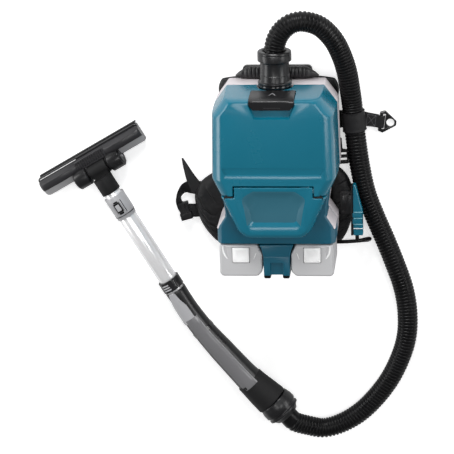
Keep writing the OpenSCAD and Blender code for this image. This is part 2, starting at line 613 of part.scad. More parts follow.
// Rounded edge on each side of the hinge line, so that the edges pass as the cover turns
module hinge_edge(side) translate([0, hinge_y, hinge_z]) both() along_x_at(tab_x + 1, 60)
  polygon([for (a = [0:15:90]) [side * (hinge_half + knuckle_r - knuckle_r * cos(a)), knuckle_r * sin(a)],
    [side * (hinge_half - 1), knuckle_r + 2], [side * (hinge_half - 1), 0]]);
hinge_half = (cover_low - panel_top) / 2;
module dust_cover() color(teal) difference() {
  union() {
    difference() {
      cover_form(0);
      difference() {
        cover_form(wall);
        latch_pocket(wall);
      }
      latch_pocket();
      // opening round the inlet port
      inlet_axis() y_rod(port_r + 3.5, body_top - 40, body_top + 10);
      translate([-port_r - 3.5, body_top - 40, z_seam - 5])
        cube([2 * port_r + 7, 60, port_z - z_seam + 5]);
      translate([0, latch_y, latch_z]) x_rod(1.6 + run, -latch_w / 2 - 4, latch_w / 2 + 4);
      // window through which the filter draws
      translate([2 - tab_x, tab_top - 5, z_seam - 1]) cube([2 * tab_x - 4, 20, z_house - z_seam - 2]);
      // shallow waist groove across the front, deepest at its upper edge
      along_x(body_w - 36) polygon([[9, z_front], [26, z_front - 1.8], [26, z_front + 3], [9, z_front + 3]]);
      hinge_edge(1);
      both() for (x = lug_x) barrel_room(x[0], x[1]);
    }
    both() translate([0, hinge_y, hinge_z]) {
      x_rod(knuckle_r, knuckle_x0, knuckle_x1);
      translate([knuckle_x0, 0, -knuckle_r]) cube([knuckle_x1 - knuckle_x0, 5, knuckle_r + 1]);
    }
  }
  both() translate([0, hinge_y, hinge_z]) x_rod(pin_r + run, knuckle_x0 - 1, knuckle_x1 + 1);
}
module cover_gasket() color(black) slab(z_seam + 0.2, z_seam + 2.2) difference() {
  offset(delta = -wall - 0.1) outline(cover_half, 3);
  offset(delta = -wall - 3) outline(cover_half, 3);
  translate([-port_r - 8, body_top - 20]) square([2 * port_r + 16, 40]);
  translate([-tab_x - 1, tab_top - 10]) square([2 * tab_x + 2, 26]);
}
module hinge_pins() color(metal) both() translate([0, hinge_y, hinge_z])
  x_rod(pin_r, lug_x[0][0], lug_x[1][1]);
panel_half = [[tab_x, tab_top], [tab_x, panel_top], [hw - 19, panel_top], [hw - 42, -84], [hw - 49, -97],
  [hw - 60, -106], [46, panel_low]];
module panel_form(t) intersection() {
  slab(z_house - (t > 0 ? 1 : 0), z_front - t) offset(delta = -t) outline(panel_half, 2);
  along_y(panel_low - 5, tab_top + 5)
    polygon(mirrored([[hw - 15 - t, z_house - 1], [hw - 18 - t, z_front - 10], [hw - 26 - t, z_front - t]]));
  along_x(body_w) polygon([[panel_low + 1 + t, z_house - 1], [panel_low + 4 + t, z_front - 10],
    [panel_low + 14 + t, z_front - t], [0, z_front - t], [0, z_house - 1]]);
}
module front_panel() color(teal) difference() {
  union() {
    difference() {
      panel_form(0);
      difference() {
        panel_form(wall);
        // wall follows the dished centre
        along_x(120) polygon([[-16, z_front - 8], [-76, z_front - 8], [-96, z_front],
          [-16, z_front + 5]]);
      }
      // dished centre that slopes out at its lower edge
      intersection() {
        slab(z_front - 10, z_front + 1)
          polygon(mirrored([[58, -20], [58, -34], [46, -76], [42, -90]]));
        along_x(140) polygon([[-19, z_front + 1], [-23, z_front - 4], [-76, z_front - 4],
          [-91, z_front + 1]]);
      }
      hinge_edge(-1);
      both() barrel_room(knuckle_x0, knuckle_x1);
    }
    // lugs of the cover hinge
    both() for (x = lug_x) translate([0, hinge_y, hinge_z]) {
      x_rod(knuckle_r, x[0], x[1]);
      translate([x[0], -5, -knuckle_r]) cube([x[1] - x[0], 5, knuckle_r + 1]);
    }
  }
  both() translate([0, hinge_y, hinge_z]) x_rod(pin_r, lug_x[0][0] - 1, lug_x[1][1] + 1);
}
house_half = [[tab_x - 0.5, tab_top - 1], [tab_x - 0.5, cover_low - 2], [hw - 16, cover_low - 2],
  [hw - 22, -76], [hw - 6, -100], [hw - 6, -body_base]];
foot_w = 44;
module motor_housing() color(teal_dark) difference() {
  union() {
    difference() {
      intersection() {
        slab(z_seam, z_house) outline(house_half, 3);
        along_y(-body_base - 5, 5)
          polygon(mirrored([[hw - 4, z_seam - 1], [hw - 5, z_house - 14], [hw - 14, z_house]]));
      }
      slab(z_seam - 1, z_house - wall) offset(delta = -wall) outline(house_half, 3);
    }
    // posts of the control board
    for (s = [-1, 1]) translate([s * 54, -105, z_house - wall - 6.4]) cylinder(h = 7, r = 4);
  }
  translate([0, 0, motor_z]) y_rod(duct_hole, tab_top - wall - 3, tab_top + 2);
}

// Foot between the batteries, screwed to the deck wall of both shells
module stand_foot() color(teal_dark) difference() {
  slab(z_shell + 24, z_house) polygon(mirrored([[foot_w / 2 + 9.5, -body_base],
    [foot_w / 2 + 2.4, -body_base - 21], [foot_w / 2 + 1.6, -body_base - foot_l + 3],
    [foot_w / 2 - 1, -body_base - foot_l]]));
  translate([0, 0, z_house - 5]) linear_extrude(10)
    polygon(mirrored([[8, -body_base - 31], [12, -body_base - foot_l + 8]]));
  translate([-9, -body_base - foot_l - 1, z_shell]) cube([18, 4, 200]);
}

// ---- inside ----
module inlet_port() color(black) {
  inlet_axis() difference() {
    union() {
      y_rod(port_r, body_top - 22, body_top + 2);
      y_rod(port_r + 1, body_top + 0.2, body_top + 5);
      y_rod(duct_r + 1, body_top + 2, body_top + 24);
    }
    y_rod(duct_r - 3, body_top - 30, body_top + 40);
  }
}
// Lever over the top edge: it turns on two stubs in the cover and lifts in front
module cover_latch() color(black) {
  translate([0, latch_y, latch_z]) {
    x_rod(1.6, -latch_w / 2 - 3, latch_w / 2 + 3);
    x_rod(latch_t / 2, -latch_w / 2, latch_w / 2);
  }
  difference() {
    union() {
      translate([-latch_w / 2, latch_y - latch_t / 2, latch_z]) cube([latch_w, latch_front - latch_y + latch_t / 2, z_front - latch_z]);
      slab(z_front - 7.4, z_front + 0.4) polygon(mirrored([[latch_w / 2, latch_front],
        [latch_w / 2, body_top - 10.5], [latch_w / 2 - 6, body_top - latch_drop]]));
    }
    // chevron cut in the top plate
    translate([0, latch_front + 0.1, latch_z + 20]) rotate([90, 0, 0]) linear_extrude(0.8)
      polygon([[-7, -7], [-5, -7], [0, 4], [5, -7], [7, -7], [0, 8]]);
  }
}
bag_top = body_top - 26;
module bag_collar() color(ghost) difference() {
  translate([-46, bag_top - 2, z_shell + wall]) cube([92, 3, 105]);
  inlet_axis() y_rod(duct_r - 4, bag_top - 5, bag_top + 5);
}
// Rings of the bag from its mouth: it lies half full in the rear shell, under the
// arc of the cover's lower edge
bag_low = [for (d = [15, 15, 6, 6, 6, 9]) z_shell + wall + d];
bag_y = [bag_top - 2.3, bag_top - 16, bag_top - 40, 60, 30, 15];
bag_w = [86, 140, 160, 164, 160, 120];
bag_h = [84, 108, 124, 77, 46, 34];
function bag_ring(i, d, dy = 0) = ring([0, bag_y[i] + dy, bag_low[i] + bag_h[i] / 2], [0, -1, 0],
  bag_w[i] - d, bag_h[i] - d, 16, 0.6);
module dust_bag() color(white) cup([for (i = [0:5]) bag_ring(i, 0)],
  [for (i = [0:5]) bag_ring(i, 5, i > 3 ? 3 : 0)]);
module filter_cassette() color(white) difference() {
  translate([-62, tab_top - 0.5, z_shell + wall + 3]) cube([124, 22, 100]);
  for (i = [0:14]) translate([-56 + i * 8, tab_top + 14, z_shell + wall + 8]) cube([4, 20, 90]);
  translate([0, 0, motor_z]) y_rod(duct_hole - 4, tab_top - 2, tab_top + 10);
}
module on_motor() translate([0, 0, motor_z]) children();
module fan_shroud() color(black) on_motor() difference() {
  y_rod(46, -56, tab_top - 1 - wall - gap);
  y_rod(43, -58, tab_top - 8 - wall);
  y_rod(22, -60, 0);
}
module motor() color(grey) on_motor() difference() {
  union() {
    y_rod(46, -61, -56.2);
    y_rod(29, -112, -61);
    for (a = [0:30:330]) rotate([0, a, 0]) translate([-1.5, -110, 28]) cube([3, 48, 3]);
  }
  y_rod(5, -113, -50);
}
module motor_shaft() color(metal) on_motor() y_rod(5 - run, -114, -24);
module fan_impeller() color(white) on_motor() difference() {
  union() {
    y_rod(40, -52, -49);
    y_rod(10, -52, -30);
    for (a = [0:40:320]) rotate([0, a, 0]) translate([9, -49.5, -1]) rotate([0, 14, 0])
      cube([29, 14, 2]);
  }
  y_rod(5 - run, -60, -20);
}
module control_board() color([0.05, 0.3, 0.12]) difference() {
  translate([-60, -122, z_house - wall - 8]) cube([120, 34, 1.6]);
  for (s = [-1, 1]) translate([s * 54, -105, z_house - wall - 9]) cylinder(h = 4, r = 1.6);
}

// ---- batteries ----
bat_c = bat_gap / 2 + bat_w / 2;
deck = -body_base;
rail_stem = 14;
rail_cap = 26;
dock_l = bat_l - 16;
bat_z = z_shell + 1;
module battery_dock() translate([bat_c, 0, bat_z + 6]) linear_extrude(dock_l) {
  translate([-rail_stem, deck - 4.5]) square([2 * rail_stem, 4.5]);
  translate([-rail_cap, deck - 9]) square([2 * rail_cap, 4.6]);
}
module battery_dock_right() color(black) battery_dock();
module battery_dock_left() color(black) mirror([1, 0, 0]) battery_dock();
module battery() translate([bat_c, 0, bat_z]) difference() {
  linear_extrude(bat_l) offset(r = 3, $fn = 24) offset(delta = -3)
    polygon([[-bat_w / 2, deck - 20], [10 - bat_w / 2, deck - 0.4], [bat_w / 2 - 1, deck - 0.4],
      [bat_w / 2, deck - 9], [bat_w / 2, deck - bat_h + 5], [bat_w / 2 - 5, deck - bat_h],
      [6 - bat_w / 2, deck - bat_h], [-bat_w / 2, deck - bat_h + 6]]);
  translate([0, 0, -1]) linear_extrude(dock_l + 8) {
    translate([-rail_stem - gap, deck - 5]) square([2 * (rail_stem + gap), 6]);
    translate([-rail_cap - gap, deck - 9 - gap]) square([2 * (rail_cap + gap), 4.6 + 2 * gap]);
  }
  // pocket of the release button
  translate([-16, deck - 40, bat_l - 5]) cube([32, 35, 6]);
}
module battery_right() color(ghost) battery();
module battery_left() color(ghost) mirror([1, 0, 0]) battery();
module battery_button() translate([bat_c, 0, bat_z + bat_l]) difference() {
  translate([-15.4, deck - 34, -4.6]) cube([30.8, 28.5, 6.4]);
  translate([-12, deck - 31, 0.8]) cube([24, 3, 2]);
}
module battery_button_right() color(white) battery_button();
module battery_button_left() color(white) mirror([1, 0, 0]) battery_button();

// ---- inlet cuff: turns on the port's neck ----
module inlet_cuff() color(black) translate([0, body_top + 6, port_z]) rotate([-90, 0, 0])
  rotate_extrude() polygon([[duct_r + 1 + run, 0], [cuff_d / 2 + 3.6, 0], [cuff_d / 2 + 3.6, 4],
    [cuff_d / 2, 5], [cuff_d / 2, 16], [cuff_d / 2 - 1, 17], [cuff_d / 2 - 1, cuff_l - 21],
    [cuff_d / 2 + 1.4, cuff_l - 19], [cuff_d / 2 + 3.6, cuff_l - 18], [cuff_d / 2 + 3.6, cuff_l - 6],
    [cuff_d / 2 + 3, cuff_l - 5.6], [cuff_d / 2 + 3, cuff_l - 5], [cuff_d / 2 + 3.6, cuff_l - 4.6],
    [cuff_d / 2 + 3.4, cuff_l - 2], [cuff_d / 2 + 2.2, cuff_l - 0.6], [cuff_d / 2 + 0.6, cuff_l],
    [hose_d / 2 + 3.5, cuff_l], [hose_d / 2 + 2, cuff_l - 3], [hose_d / 2 + 0.5, cuff_l - 8],
    [hose_d / 2 + 0.5, cuff_l - socket], [hose_bore / 2 + 0.5, cuff_l - socket],
    [hose_bore / 2 + 0.5, cuff_l - socket - 1],
    [duct_r + 1 + run, cuff_l - socket - 3]]);

back_pad_upper();
back_pad_lower();
back_frame();
carry_handle();
rear_shell();
inlet_port();
bag_collar();
dust_bag();
filter_cassette();
motor_housing();
stand_foot();
front_panel();
hinge_pins();
motor();
fan_shroud();
control_board();
battery_dock_left();
battery_dock_right();
shoulder_strap_left();
shoulder_strap_right();
hip_wing_left();
hip_wing_right();
belt_left();
belt_fold_left();
waist_buckle();
strap_adjuster();
hose_band();
ring_buckle();
control_pod();
pod_clip();
control_cable();
cable_gland();
hose();
handle_cuff();
handle_shell();
grip_inlay();
tube_outer();
tube_collar();
dust_cover();
cover_gasket();
cover_latch();
fan_impeller();
motor_shaft();
battery_left();
battery_right();
battery_button_left();
battery_button_right();
inlet_cuff();
tube_inner();
nozzle_neck();
nozzle_body();
sole_plate();
brush_strips();
nozzle_axle();
wheel_left();
wheel_right();
collar_button();
air_slider();
pod_key(0);  // power_button
pod_key(1);  // mode_button
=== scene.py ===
"""Visual model of a backpack vacuum cleaner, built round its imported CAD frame."""
import math

import bmesh
import bpy
from mathutils import Matrix, Vector, noise
from mathutils.kdtree import KDTree


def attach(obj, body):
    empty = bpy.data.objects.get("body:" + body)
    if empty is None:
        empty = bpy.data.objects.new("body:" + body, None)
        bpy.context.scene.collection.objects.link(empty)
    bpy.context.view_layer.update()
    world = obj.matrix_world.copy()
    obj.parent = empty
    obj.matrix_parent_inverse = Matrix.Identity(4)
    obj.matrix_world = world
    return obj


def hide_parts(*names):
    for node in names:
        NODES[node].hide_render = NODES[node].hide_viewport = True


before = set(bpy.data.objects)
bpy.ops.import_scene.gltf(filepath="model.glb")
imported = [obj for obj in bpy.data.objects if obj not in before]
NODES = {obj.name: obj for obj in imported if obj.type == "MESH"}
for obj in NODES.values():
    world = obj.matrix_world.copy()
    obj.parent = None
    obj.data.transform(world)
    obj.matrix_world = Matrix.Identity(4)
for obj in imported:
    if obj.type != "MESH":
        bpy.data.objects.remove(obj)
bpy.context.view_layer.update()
MM = 0.001
SHARP = 35.0  # usual angle in degrees from which an edge is shaded sharp
SIDES = ((-1, "left"), (1, "right"))
WAND_ANGLE = 30.2

# ---------------------------------------------------------------- materials


def feed(made, **values):
    """Sets a node's inputs by name, with _ for a space."""
    for key, value in values.items():
        made.inputs[key.replace("_", " ")].default_value = value
    return made


def node(tree, kind, **values):
    """A shader node with its properties set."""
    made = tree.nodes.new(kind)
    for key, value in values.items():
        setattr(made, key, value)
    return made


def surface_height(tree, at, kind, size):
    """Height field of a surface pattern with features of that size in metres."""
    link = tree.links.new
    if kind == "weave":
        mix = node(tree, "ShaderNodeMath", operation="MAXIMUM")
        for k, axis in enumerate("XY"):
            wave = feed(node(tree, "ShaderNodeTexWave", bands_direction=axis),
                        Scale=0.314 / size, Distortion=0.4, Detail=1.0)
            link(at, wave.inputs["Vector"])
            link(wave.outputs["Fac"], mix.inputs[k])
        return mix.outputs[0]
    if kind == "mesh":
        cell = feed(node(tree, "ShaderNodeTexVoronoi", feature="DISTANCE_TO_EDGE"),
                    Scale=1.0 / size, Randomness=0.25)
        link(at, cell.inputs["Vector"])
        return cell.outputs["Distance"]
    if kind == "brushed":
        stretch = feed(node(tree, "ShaderNodeMapping"), Scale=(1.0, 0.04, 1.0),
                       Rotation=(0, 0, -math.radians(WAND_ANGLE)))
        link(at, stretch.inputs["Vector"])
        at = stretch.outputs[0]
    grain = feed(node(tree, "ShaderNodeTexNoise"), Scale=1.0 / size, Detail=3.0)
    link(at, grain.inputs["Vector"])
    return grain.outputs["Fac"]


def material(name, colour, rough, size, bump, mottle, kind="grain", wear=0.05, metallic=0.0,
             **sockets):
    """Procedural surface of a colour and roughness that vary a little (mottle, wear).

    Its fine relief has features of that size in metres, and bump is its strength.
    """
    made = bpy.data.materials.new(name)
    made.use_nodes = True
    tree = made.node_tree
    link = tree.links.new
    shader = feed(tree.nodes["Principled BSDF"], Metallic=metallic, **sockets)
    at = node(tree, "ShaderNodeTexCoord").outputs["Object"]
    clouds = feed(node(tree, "ShaderNodeTexNoise"), Scale=22.0, Detail=5.0)
    link(at, clouds.inputs["Vector"])
    tint = node(tree, "ShaderNodeMix", data_type="RGBA")
    tint.inputs[6].default_value = (*(c * (1 - mottle) for c in colour), 1)
    tint.inputs[7].default_value = (
        *(min(1.0, c * (1 + mottle) + 0.02 * mottle) for c in colour), 1)
    link(clouds.outputs["Fac"], tint.inputs[0])
    link(tint.outputs[2], shader.inputs["Base Color"])
    spread = feed(node(tree, "ShaderNodeMapRange"), From_Min=0.3, From_Max=0.7,
                  To_Min=max(0.0, rough - wear), To_Max=rough + wear)
    link(clouds.outputs["Fac"], spread.inputs["Value"])
    link(spread.outputs[0], shader.inputs["Roughness"])
    relief = feed(node(tree, "ShaderNodeBump"), Strength=bump, Distance=size)
    link(surface_height(tree, at, kind, size), relief.inputs["Height"])
    link(relief.outputs[0], shader.inputs["Normal"])
    return made


TEAL = material("teal moulding", (0.001, 0.142, 0.218), 0.26, 0.0009, 0.012, 0.02, wear=0.02,
                Coat_Weight=0.22, Coat_Roughness=0.12)
# darker, greyer teal: painted shade on the floor of the panel's dish
TEAL_PAINTED_SHADE = material("teal painted shade", (0.016, 0.115, 0.165), 0.50, 0.0006, 0.06, 0.05)
TEAL_DARK = material("teal housing", (0.003, 0.096, 0.155), 0.34, 0.0008, 0.03, 0.06)
WHITE = material("off-white shell", (0.62, 0.58, 0.60), 0.42, 0.0008, 0.04, 0.03)
BRIGHT = material("white key", (0.96, 0.96, 0.96), 0.35, 0.0008, 0.02, 0.02)
GHOST = material("battery grey", (0.52, 0.52, 0.53), 0.45, 0.0009, 0.04, 0.03)
BLACK = material("black moulding", (0.006, 0.006, 0.007), 0.30, 0.0007, 0.04, 0.15)
GLOSS = material("gloss black", (0.005, 0.005, 0.006), 0.16, 0.0010, 0.015, 0.1,
                 Coat_Weight=0.5, Coat_Roughness=0.08)
CHARCOAL = material("charcoal moulding", (0.020, 0.0195, 0.022), 0.36, 0.0007, 0.05, 0.12)
GREY = material("grey moulding", (0.20, 0.20, 0.215), 0.40, 0.0007, 0.04, 0.06)
SILVER = material("silver moulding", (0.42, 0.42, 0.435), 0.30, 0.0008, 0.02, 0.05)
RUBBER = material("hose rubber", (0.003, 0.003, 0.0035), 0.30, 0.0008, 0.05, 0.2,
                  Specular_IOR_Level=0.18)
# matt black; on the hinge knuckles, lugs and pins it is painted shade that darkens the hinge slots
MATT = material("matt rubber and painted hinge shade", (0.004, 0.004, 0.0045), 0.62, 0.0009, 0.12, 0.2,
                Specular_IOR_Level=0.3)
GRIP = material("grip inlay", (0.165, 0.164, 0.171), 0.24, 0.0008, 0.01, 0.02, wear=0.01,
                Coat_Weight=0.4, Coat_Roughness=0.15)
SILVER_BAND = material("light grey band", (0.42, 0.42, 0.43), 0.38, 0.0008, 0.03, 0.05)
# pale blue painted highlight for the glints along the grooves between the pod's keys
PALE_GLINT = material("pale blue painted glint", (0.22, 0.52, 0.62), 0.30, 0.0008, 0.02, 0.04)
# white base with metallic only 0.35: a mostly white diffuse tube, painted reflection that stands
# for the white surroundings mirrored in its chrome
CHROME_WHITE_SHINE = material("chromed tube, painted white shine", (0.93, 0.93, 0.94), 0.22, 0.0020, 0.01, 0.02, kind="brushed",
                  wear=0.03, metallic=0.35)
STEEL = material("steel pin", (0.55, 0.55, 0.57), 0.28, 0.0010, 0.05, 0.05, kind="brushed",
                 metallic=1.0)
FABRIC = material("air mesh", (0.008, 0.008, 0.009), 0.78, 0.0016, 0.35, 0.25, kind="mesh",
                  Sheen_Weight=0.25, Sheen_Roughness=0.4)
CLOTH = material("pack cloth", (0.006, 0.006, 0.0068), 0.48, 0.0009, 0.22, 0.25, kind="weave",
                 Sheen_Weight=0.03, Sheen_Roughness=0.4, Specular_IOR_Level=0.28)
WEBBING = material("webbing", (0.007, 0.007, 0.008), 0.52, 0.0014, 0.4, 0.2, kind="weave",
                   Sheen_Weight=0.03, Sheen_Roughness=0.4, Specular_IOR_Level=0.3)
BRISTLE = material("bristle", (0.010, 0.010, 0.011), 0.7, 0.0005, 0.4, 0.2)
FLEECE = material("filter fleece", (0.74, 0.72, 0.66), 0.85, 0.0012, 0.3, 0.08, kind="mesh",
                  Sheen_Weight=0.2)
BOARD = material("circuit board", (0.01, 0.09, 0.035), 0.45, 0.0020, 0.1, 0.2)
MOTOR = material("motor can", (0.38, 0.38, 0.40), 0.35, 0.0012, 0.06, 0.06, kind="brushed",
                 metallic=1.0)

# ------------------------------------------------------------- camera, light

CAMERA_AT = Vector((0.34738, 1.28601, 4.24736))
CAMERA_BACK = Vector((0.10029, 0.31809, 0.94274)).normalized()
CAMERA_RIGHT = Vector((0.99495, -0.02931, -0.09596)).normalized()
FOCAL_PX = 2400.0
FRAME_PX = 454.0
SENSOR_MM = 36.0
WORLD_LIGHT = 0.22
FLOOR_GLOW = 0.55


def placed(name, data):
    """A new object in the scene."""
    obj = bpy.data.objects.new(name, data)
    bpy.context.scene.collection.objects.link(obj)
    return obj


def make_camera():
    data = bpy.data.cameras.new("camera")
    data.sensor_width = SENSOR_MM
    data.lens = FOCAL_PX * SENSOR_MM / FRAME_PX
    data.clip_start = 0.1
    data.clip_end = 30.0
    obj = placed("camera", data)
    up = CAMERA_BACK.cross(CAMERA_RIGHT)
    turn = Matrix((CAMERA_RIGHT, up, CAMERA_BACK)).transposed()
    obj.matrix_world = Matrix.Translation(CAMERA_AT) @ turn.to_4x4()
    bpy.context.scene.camera = obj


def area_light(name, at, aim, size, power, tall=None):
    data = bpy.data.lights.new(name, "AREA")
    data.shape = "RECTANGLE"
    data.size = size
    data.size_y = tall or size
    data.energy = power
    obj = placed(name, data)
    obj.location = at
    obj.rotation_euler = (Vector(at) - Vector(aim)).to_track_quat("Z", "Y").to_euler()


def make_world():
    world = bpy.data.worlds.new("studio")
    bpy.context.scene.world = world
    world.use_nodes = True
    feed(world.node_tree.nodes["Background"], Color=(1, 1, 1, 1), Strength=WORLD_LIGHT)
    # the floor: pale, with the object's shadow on it
    mesh = bpy.data.meshes.new("floor")
    mesh.from_pydata([(-4, -4, 0), (4, -4, 0), (4, 4, 0), (-4, 4, 0)], [], [(0, 1, 2, 3)])
    floor = placed("floor", mesh)
    floor.location.z = -0.0004
    paper = bpy.data.materials.new("floor paper")
    paper.use_nodes = True
    tree = paper.node_tree
    shader = feed(tree.nodes["Principled BSDF"], Base_Color=(0.88, 0.88, 0.88, 1),
                  Roughness=0.9, Specular_IOR_Level=0.1, Emission_Color=(1, 1, 1, 1))
    path = node(tree, "ShaderNodeLightPath")
    glow = node(tree, "ShaderNodeMath", operation="MULTIPLY")
    glow.inputs[1].default_value = FLOOR_GLOW
    tree.links.new(path.outputs["Is Camera Ray"], glow.inputs[0])
    tree.links.new(glow.outputs[0], shader.inputs["Emission Strength"])
    mesh.materials.append(paper)


def make_lights():
    area_light("top softbox", (-0.3, 3.0, 1.7), (0, 0, 0.05), 1.6, 78, 0.8)
    area_light("left softbox", (-2.6, 0.1, 1.0), (0, 0, 0.1), 3.2, 44, 0.9)
    area_light("right softbox", (2.6, 0.6, 1.5), (0, 0, 0.1), 2.8, 34, 0.9)
    area_light("overhead", (1.4, 0.9, 3.6), (-0.1, -0.1, 0), 1.0, 20)
    area_light("zenith", (-0.35, 0.2, 3.6), (0, 0, 0), 0.9, 13)


bpy.context.scene.view_settings.view_transform = "Standard"
make_camera()
make_world()
make_lights()

# --------------------------------------------------------------- mesh tools


def mesh_of(name, shape):
    """Mesh of a shape, (verts, faces), in millimetres."""
    verts, faces = shape
    mesh = bpy.data.meshes.new(name)
    mesh.from_pydata([tuple(c * MM for c in v) for v in verts], [], faces)
    return mesh


def fresh(name, shape, mats, cad=None, sharp=SHARP, body="unit", picks=None):
    """A piece from a shape that rides on a body and may stand for a CAD node."""
    mesh = mesh_of(name, shape)
    mats = mats if isinstance(mats, list) else [mats]
    for m in mats:
        mesh.materials.append(m)
    if picks:
        for f, k in zip(mesh.polygons, picks):
            f.material_index = k
    mesh.validate()
    finish_mesh(mesh, sharp)
    obj = placed(name, mesh)
    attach(obj, body)
    if cad:
        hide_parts(cad)
    return obj


def finish_mesh(mesh, sharp):
    """Outward normals, and smooth shading between edges flatter than sharp degrees."""
    work = bmesh.new()
    work.from_mesh(mesh)
    bmesh.ops.recalc_face_normals(work, faces=work.faces)
    for f in work.faces:
        f.smooth = True
    for e in work.edges:
        e.smooth = e.is_manifold and e.calc_face_angle(3.0) < math.radians(sharp)
    work.to_mesh(mesh)
    work.free()


def bevel(obj, width, segments=2, angle=32.0):
    """Rounds the edges of a piece that are sharper than an angle in degrees."""
    mod = obj.modifiers.new("bevel", "BEVEL")
    mod.width = width * MM
    mod.segments = segments
    mod.limit_method = "ANGLE"
    mod.angle_limit = math.radians(angle)
    mod.harden_normals = False


def bake(obj, sharp=SHARP):
    """Applies the modifiers of a piece to its mesh."""
    bpy.context.view_layer.update()
    graph = bpy.context.evaluated_depsgraph_get()
    mesh = bpy.data.meshes.new_from_object(obj.evaluated_get(graph))
    obj.modifiers.clear()
    obj.data = mesh
    finish_mesh(mesh, sharp)


def cut(obj, *cutters, sharp=SHARP, how="DIFFERENCE"):
    """Takes closed shapes out of a piece, or adds them to it."""
    for shape in cutters:
        mesh = mesh_of("cutter", shape)
        finish_mesh(mesh, SHARP)
        tool = placed("cutter", mesh)
        mod = obj.modifiers.new("cut", "BOOLEAN")
        mod.operation = how
        mod.solver = "EXACT"
        mod.object = tool
        bake(obj, sharp)
        bpy.data.objects.remove(tool)


def skin(rings, loop=False):
    """Shape that joins rings of equally many points."""
    n = len(rings[0])
    count = len(rings)
    verts = [p for r in rings for p in r]
    faces = []
    for i in range(count if loop else count - 1):
        a, b = i * n, ((i + 1) % count) * n
        for k in range(n):
            j = (k + 1) % n
            faces.append((a + k, a + j, b + j, b + k))
    if not loop:
        faces.append(tuple(range(n))[::-1])
        faces.append(tuple((count - 1) * n + k for k in range(n)))
    return verts, faces


def loft(*levels):
    """Closed shape through (height, polygon) levels."""
    return skin([[(x, y, z) for x, y in poly] for z, poly in levels])


def stack(outline, radii, k, *levels):
    """Closed shape with an outline moved inward at each (height, inset), and rounded."""
    return loft(*[(z, fillet(inset(outline, d), radii, k)) for z, d in levels])


def box(x0, x1, y0, y1, z0, z1):
    poly = [(x0, y0), (x1, y0), (x1, y1), (x0, y1)]
    return loft((z0, poly), (z1, poly))


def join(*shapes):
    """Several (verts, faces) as one."""
    verts, faces = [], []
    for v, f in shapes:
        base = len(verts)
        verts += v
        faces += [tuple(i + base for i in q) for q in f]
    return verts, faces


def moved(shape, matrix):
    verts, faces = shape
    return [tuple(matrix @ Vector(v)) for v in verts], faces


def circle(n, shift=0.0):
    """Cosines and sines of n even steps round a turn."""
    return [(math.cos(a), math.sin(a))
            for a in (2 * math.pi * (k + shift) / n for k in range(n))]


def bulge(c, power):
    """A cosine or sine whose circle is squared off by a power under 1."""
    return math.copysign(abs(c) ** power, c)


def lathe(profile, at, axis, seg=64, close=True):
    """Profile of (radius, length) turned about an axis through at."""
    axis = Vector(axis).normalized()
    side = axis.orthogonal().normalized()
    up = axis.cross(side)
    rings = []
    for r, s in profile:
        c = Vector(at) + axis * s
        rings.append([tuple(c + (side * x + up * y) * max(r, 0.01)) for x, y in circle(seg)])
    return skin(rings, loop=close)


def rod(r, s0, s1, at, axis, seg):
    """Solid rod from length s0 to s1 along an axis through at."""
    return lathe([(0, s0), (r, s0), (r, s1), (0, s1)], at, axis, seg, False)


def frames(path):
    """Side and up vectors along a path, kept as level as it allows."""
    out = []
    for i, p in enumerate(path):
        a = path[max(i - 1, 0)]
        b = path[min(i + 1, len(path) - 1)]
        t = (Vector(b) - Vector(a)).normalized()
        s = t.cross(Vector((0, 0, 1)))
        if s.length < 1e-3:
            s = Vector((1, 0, 0))
        s.normalize()
        out.append((Vector(p), t, s, s.cross(t)))
    return out


def smooth_path(points, step):
    """Catmull-Rom curve through points, resampled to an even step."""
    pts = [Vector(p) for p in points]
    dense = []
    for i in range(len(pts) - 1):
        a, b, c, d = pts[max(i - 1, 0)], pts[i], pts[i + 1], pts[min(i + 2, len(pts) - 1)]
        for j in range(24):
            t = j / 24
            dense.append(0.5 * (2 * b + (c - a) * t + (2 * a - 5 * b + 4 * c - d) * t * t
                                + (3 * b - a - 3 * c + d) * t ** 3))
    dense.append(pts[-1])
    total = [0.0]
    for p, q in zip(dense, dense[1:]):
        total.append(total[-1] + (q - p).length)
    n = max(2, round(total[-1] / step))
    out, j = [], 0
    for i in range(n + 1):
        s = total[-1] * i / n
        while j < len(dense) - 2 and total[j + 1] < s:
            j += 1
        f = (s - total[j]) / max(1e-9, total[j + 1] - total[j])
        out.append(dense[j].lerp(dense[j + 1], min(1.0, f)))
    return out, total[-1]


def ramp(stops, x):
    """Piecewise-linear value at x from (x, value) stops."""
    if x <= stops[0][0]:
        return stops[0][1]
    for (a, va), (b, vb) in zip(stops, stops[1:]):
        if x <= b:
            return va + (vb - va) * (x - a) / (b - a)
    return stops[-1][1]


def inset(poly, amounts):
    """Closed polygon with each edge moved inward by its own amount."""
    n = len(poly)
    area = sum(poly[i][0] * poly[(i + 1) % n][1] - poly[(i + 1) % n][0] * poly[i][1]
               for i in range(n))
    sign = 1 if area > 0 else -1
    lines = []
    for i in range(n):
        (x0, y0), (x1, y1) = poly[i], poly[(i + 1) % n]
        dx, dy = x1 - x0, y1 - y0
        ln = math.hypot(dx, dy)
        nx, ny = -dy / ln * sign, dx / ln * sign
        d = amounts[i] if isinstance(amounts, (list, tuple)) else amounts
        lines.append((x0 + nx * d, y0 + ny * d, dx / ln, dy / ln))
    out = []
    for i in range(n):
        ax, ay, adx, ady = lines[i - 1]
        bx, by, bdx, bdy = lines[i]
        den = adx * bdy - ady * bdx
        t = ((bx - ax) * bdy - (by - ay) * bdx) / den
        out.append((ax + adx * t, ay + ady * t))
    return out


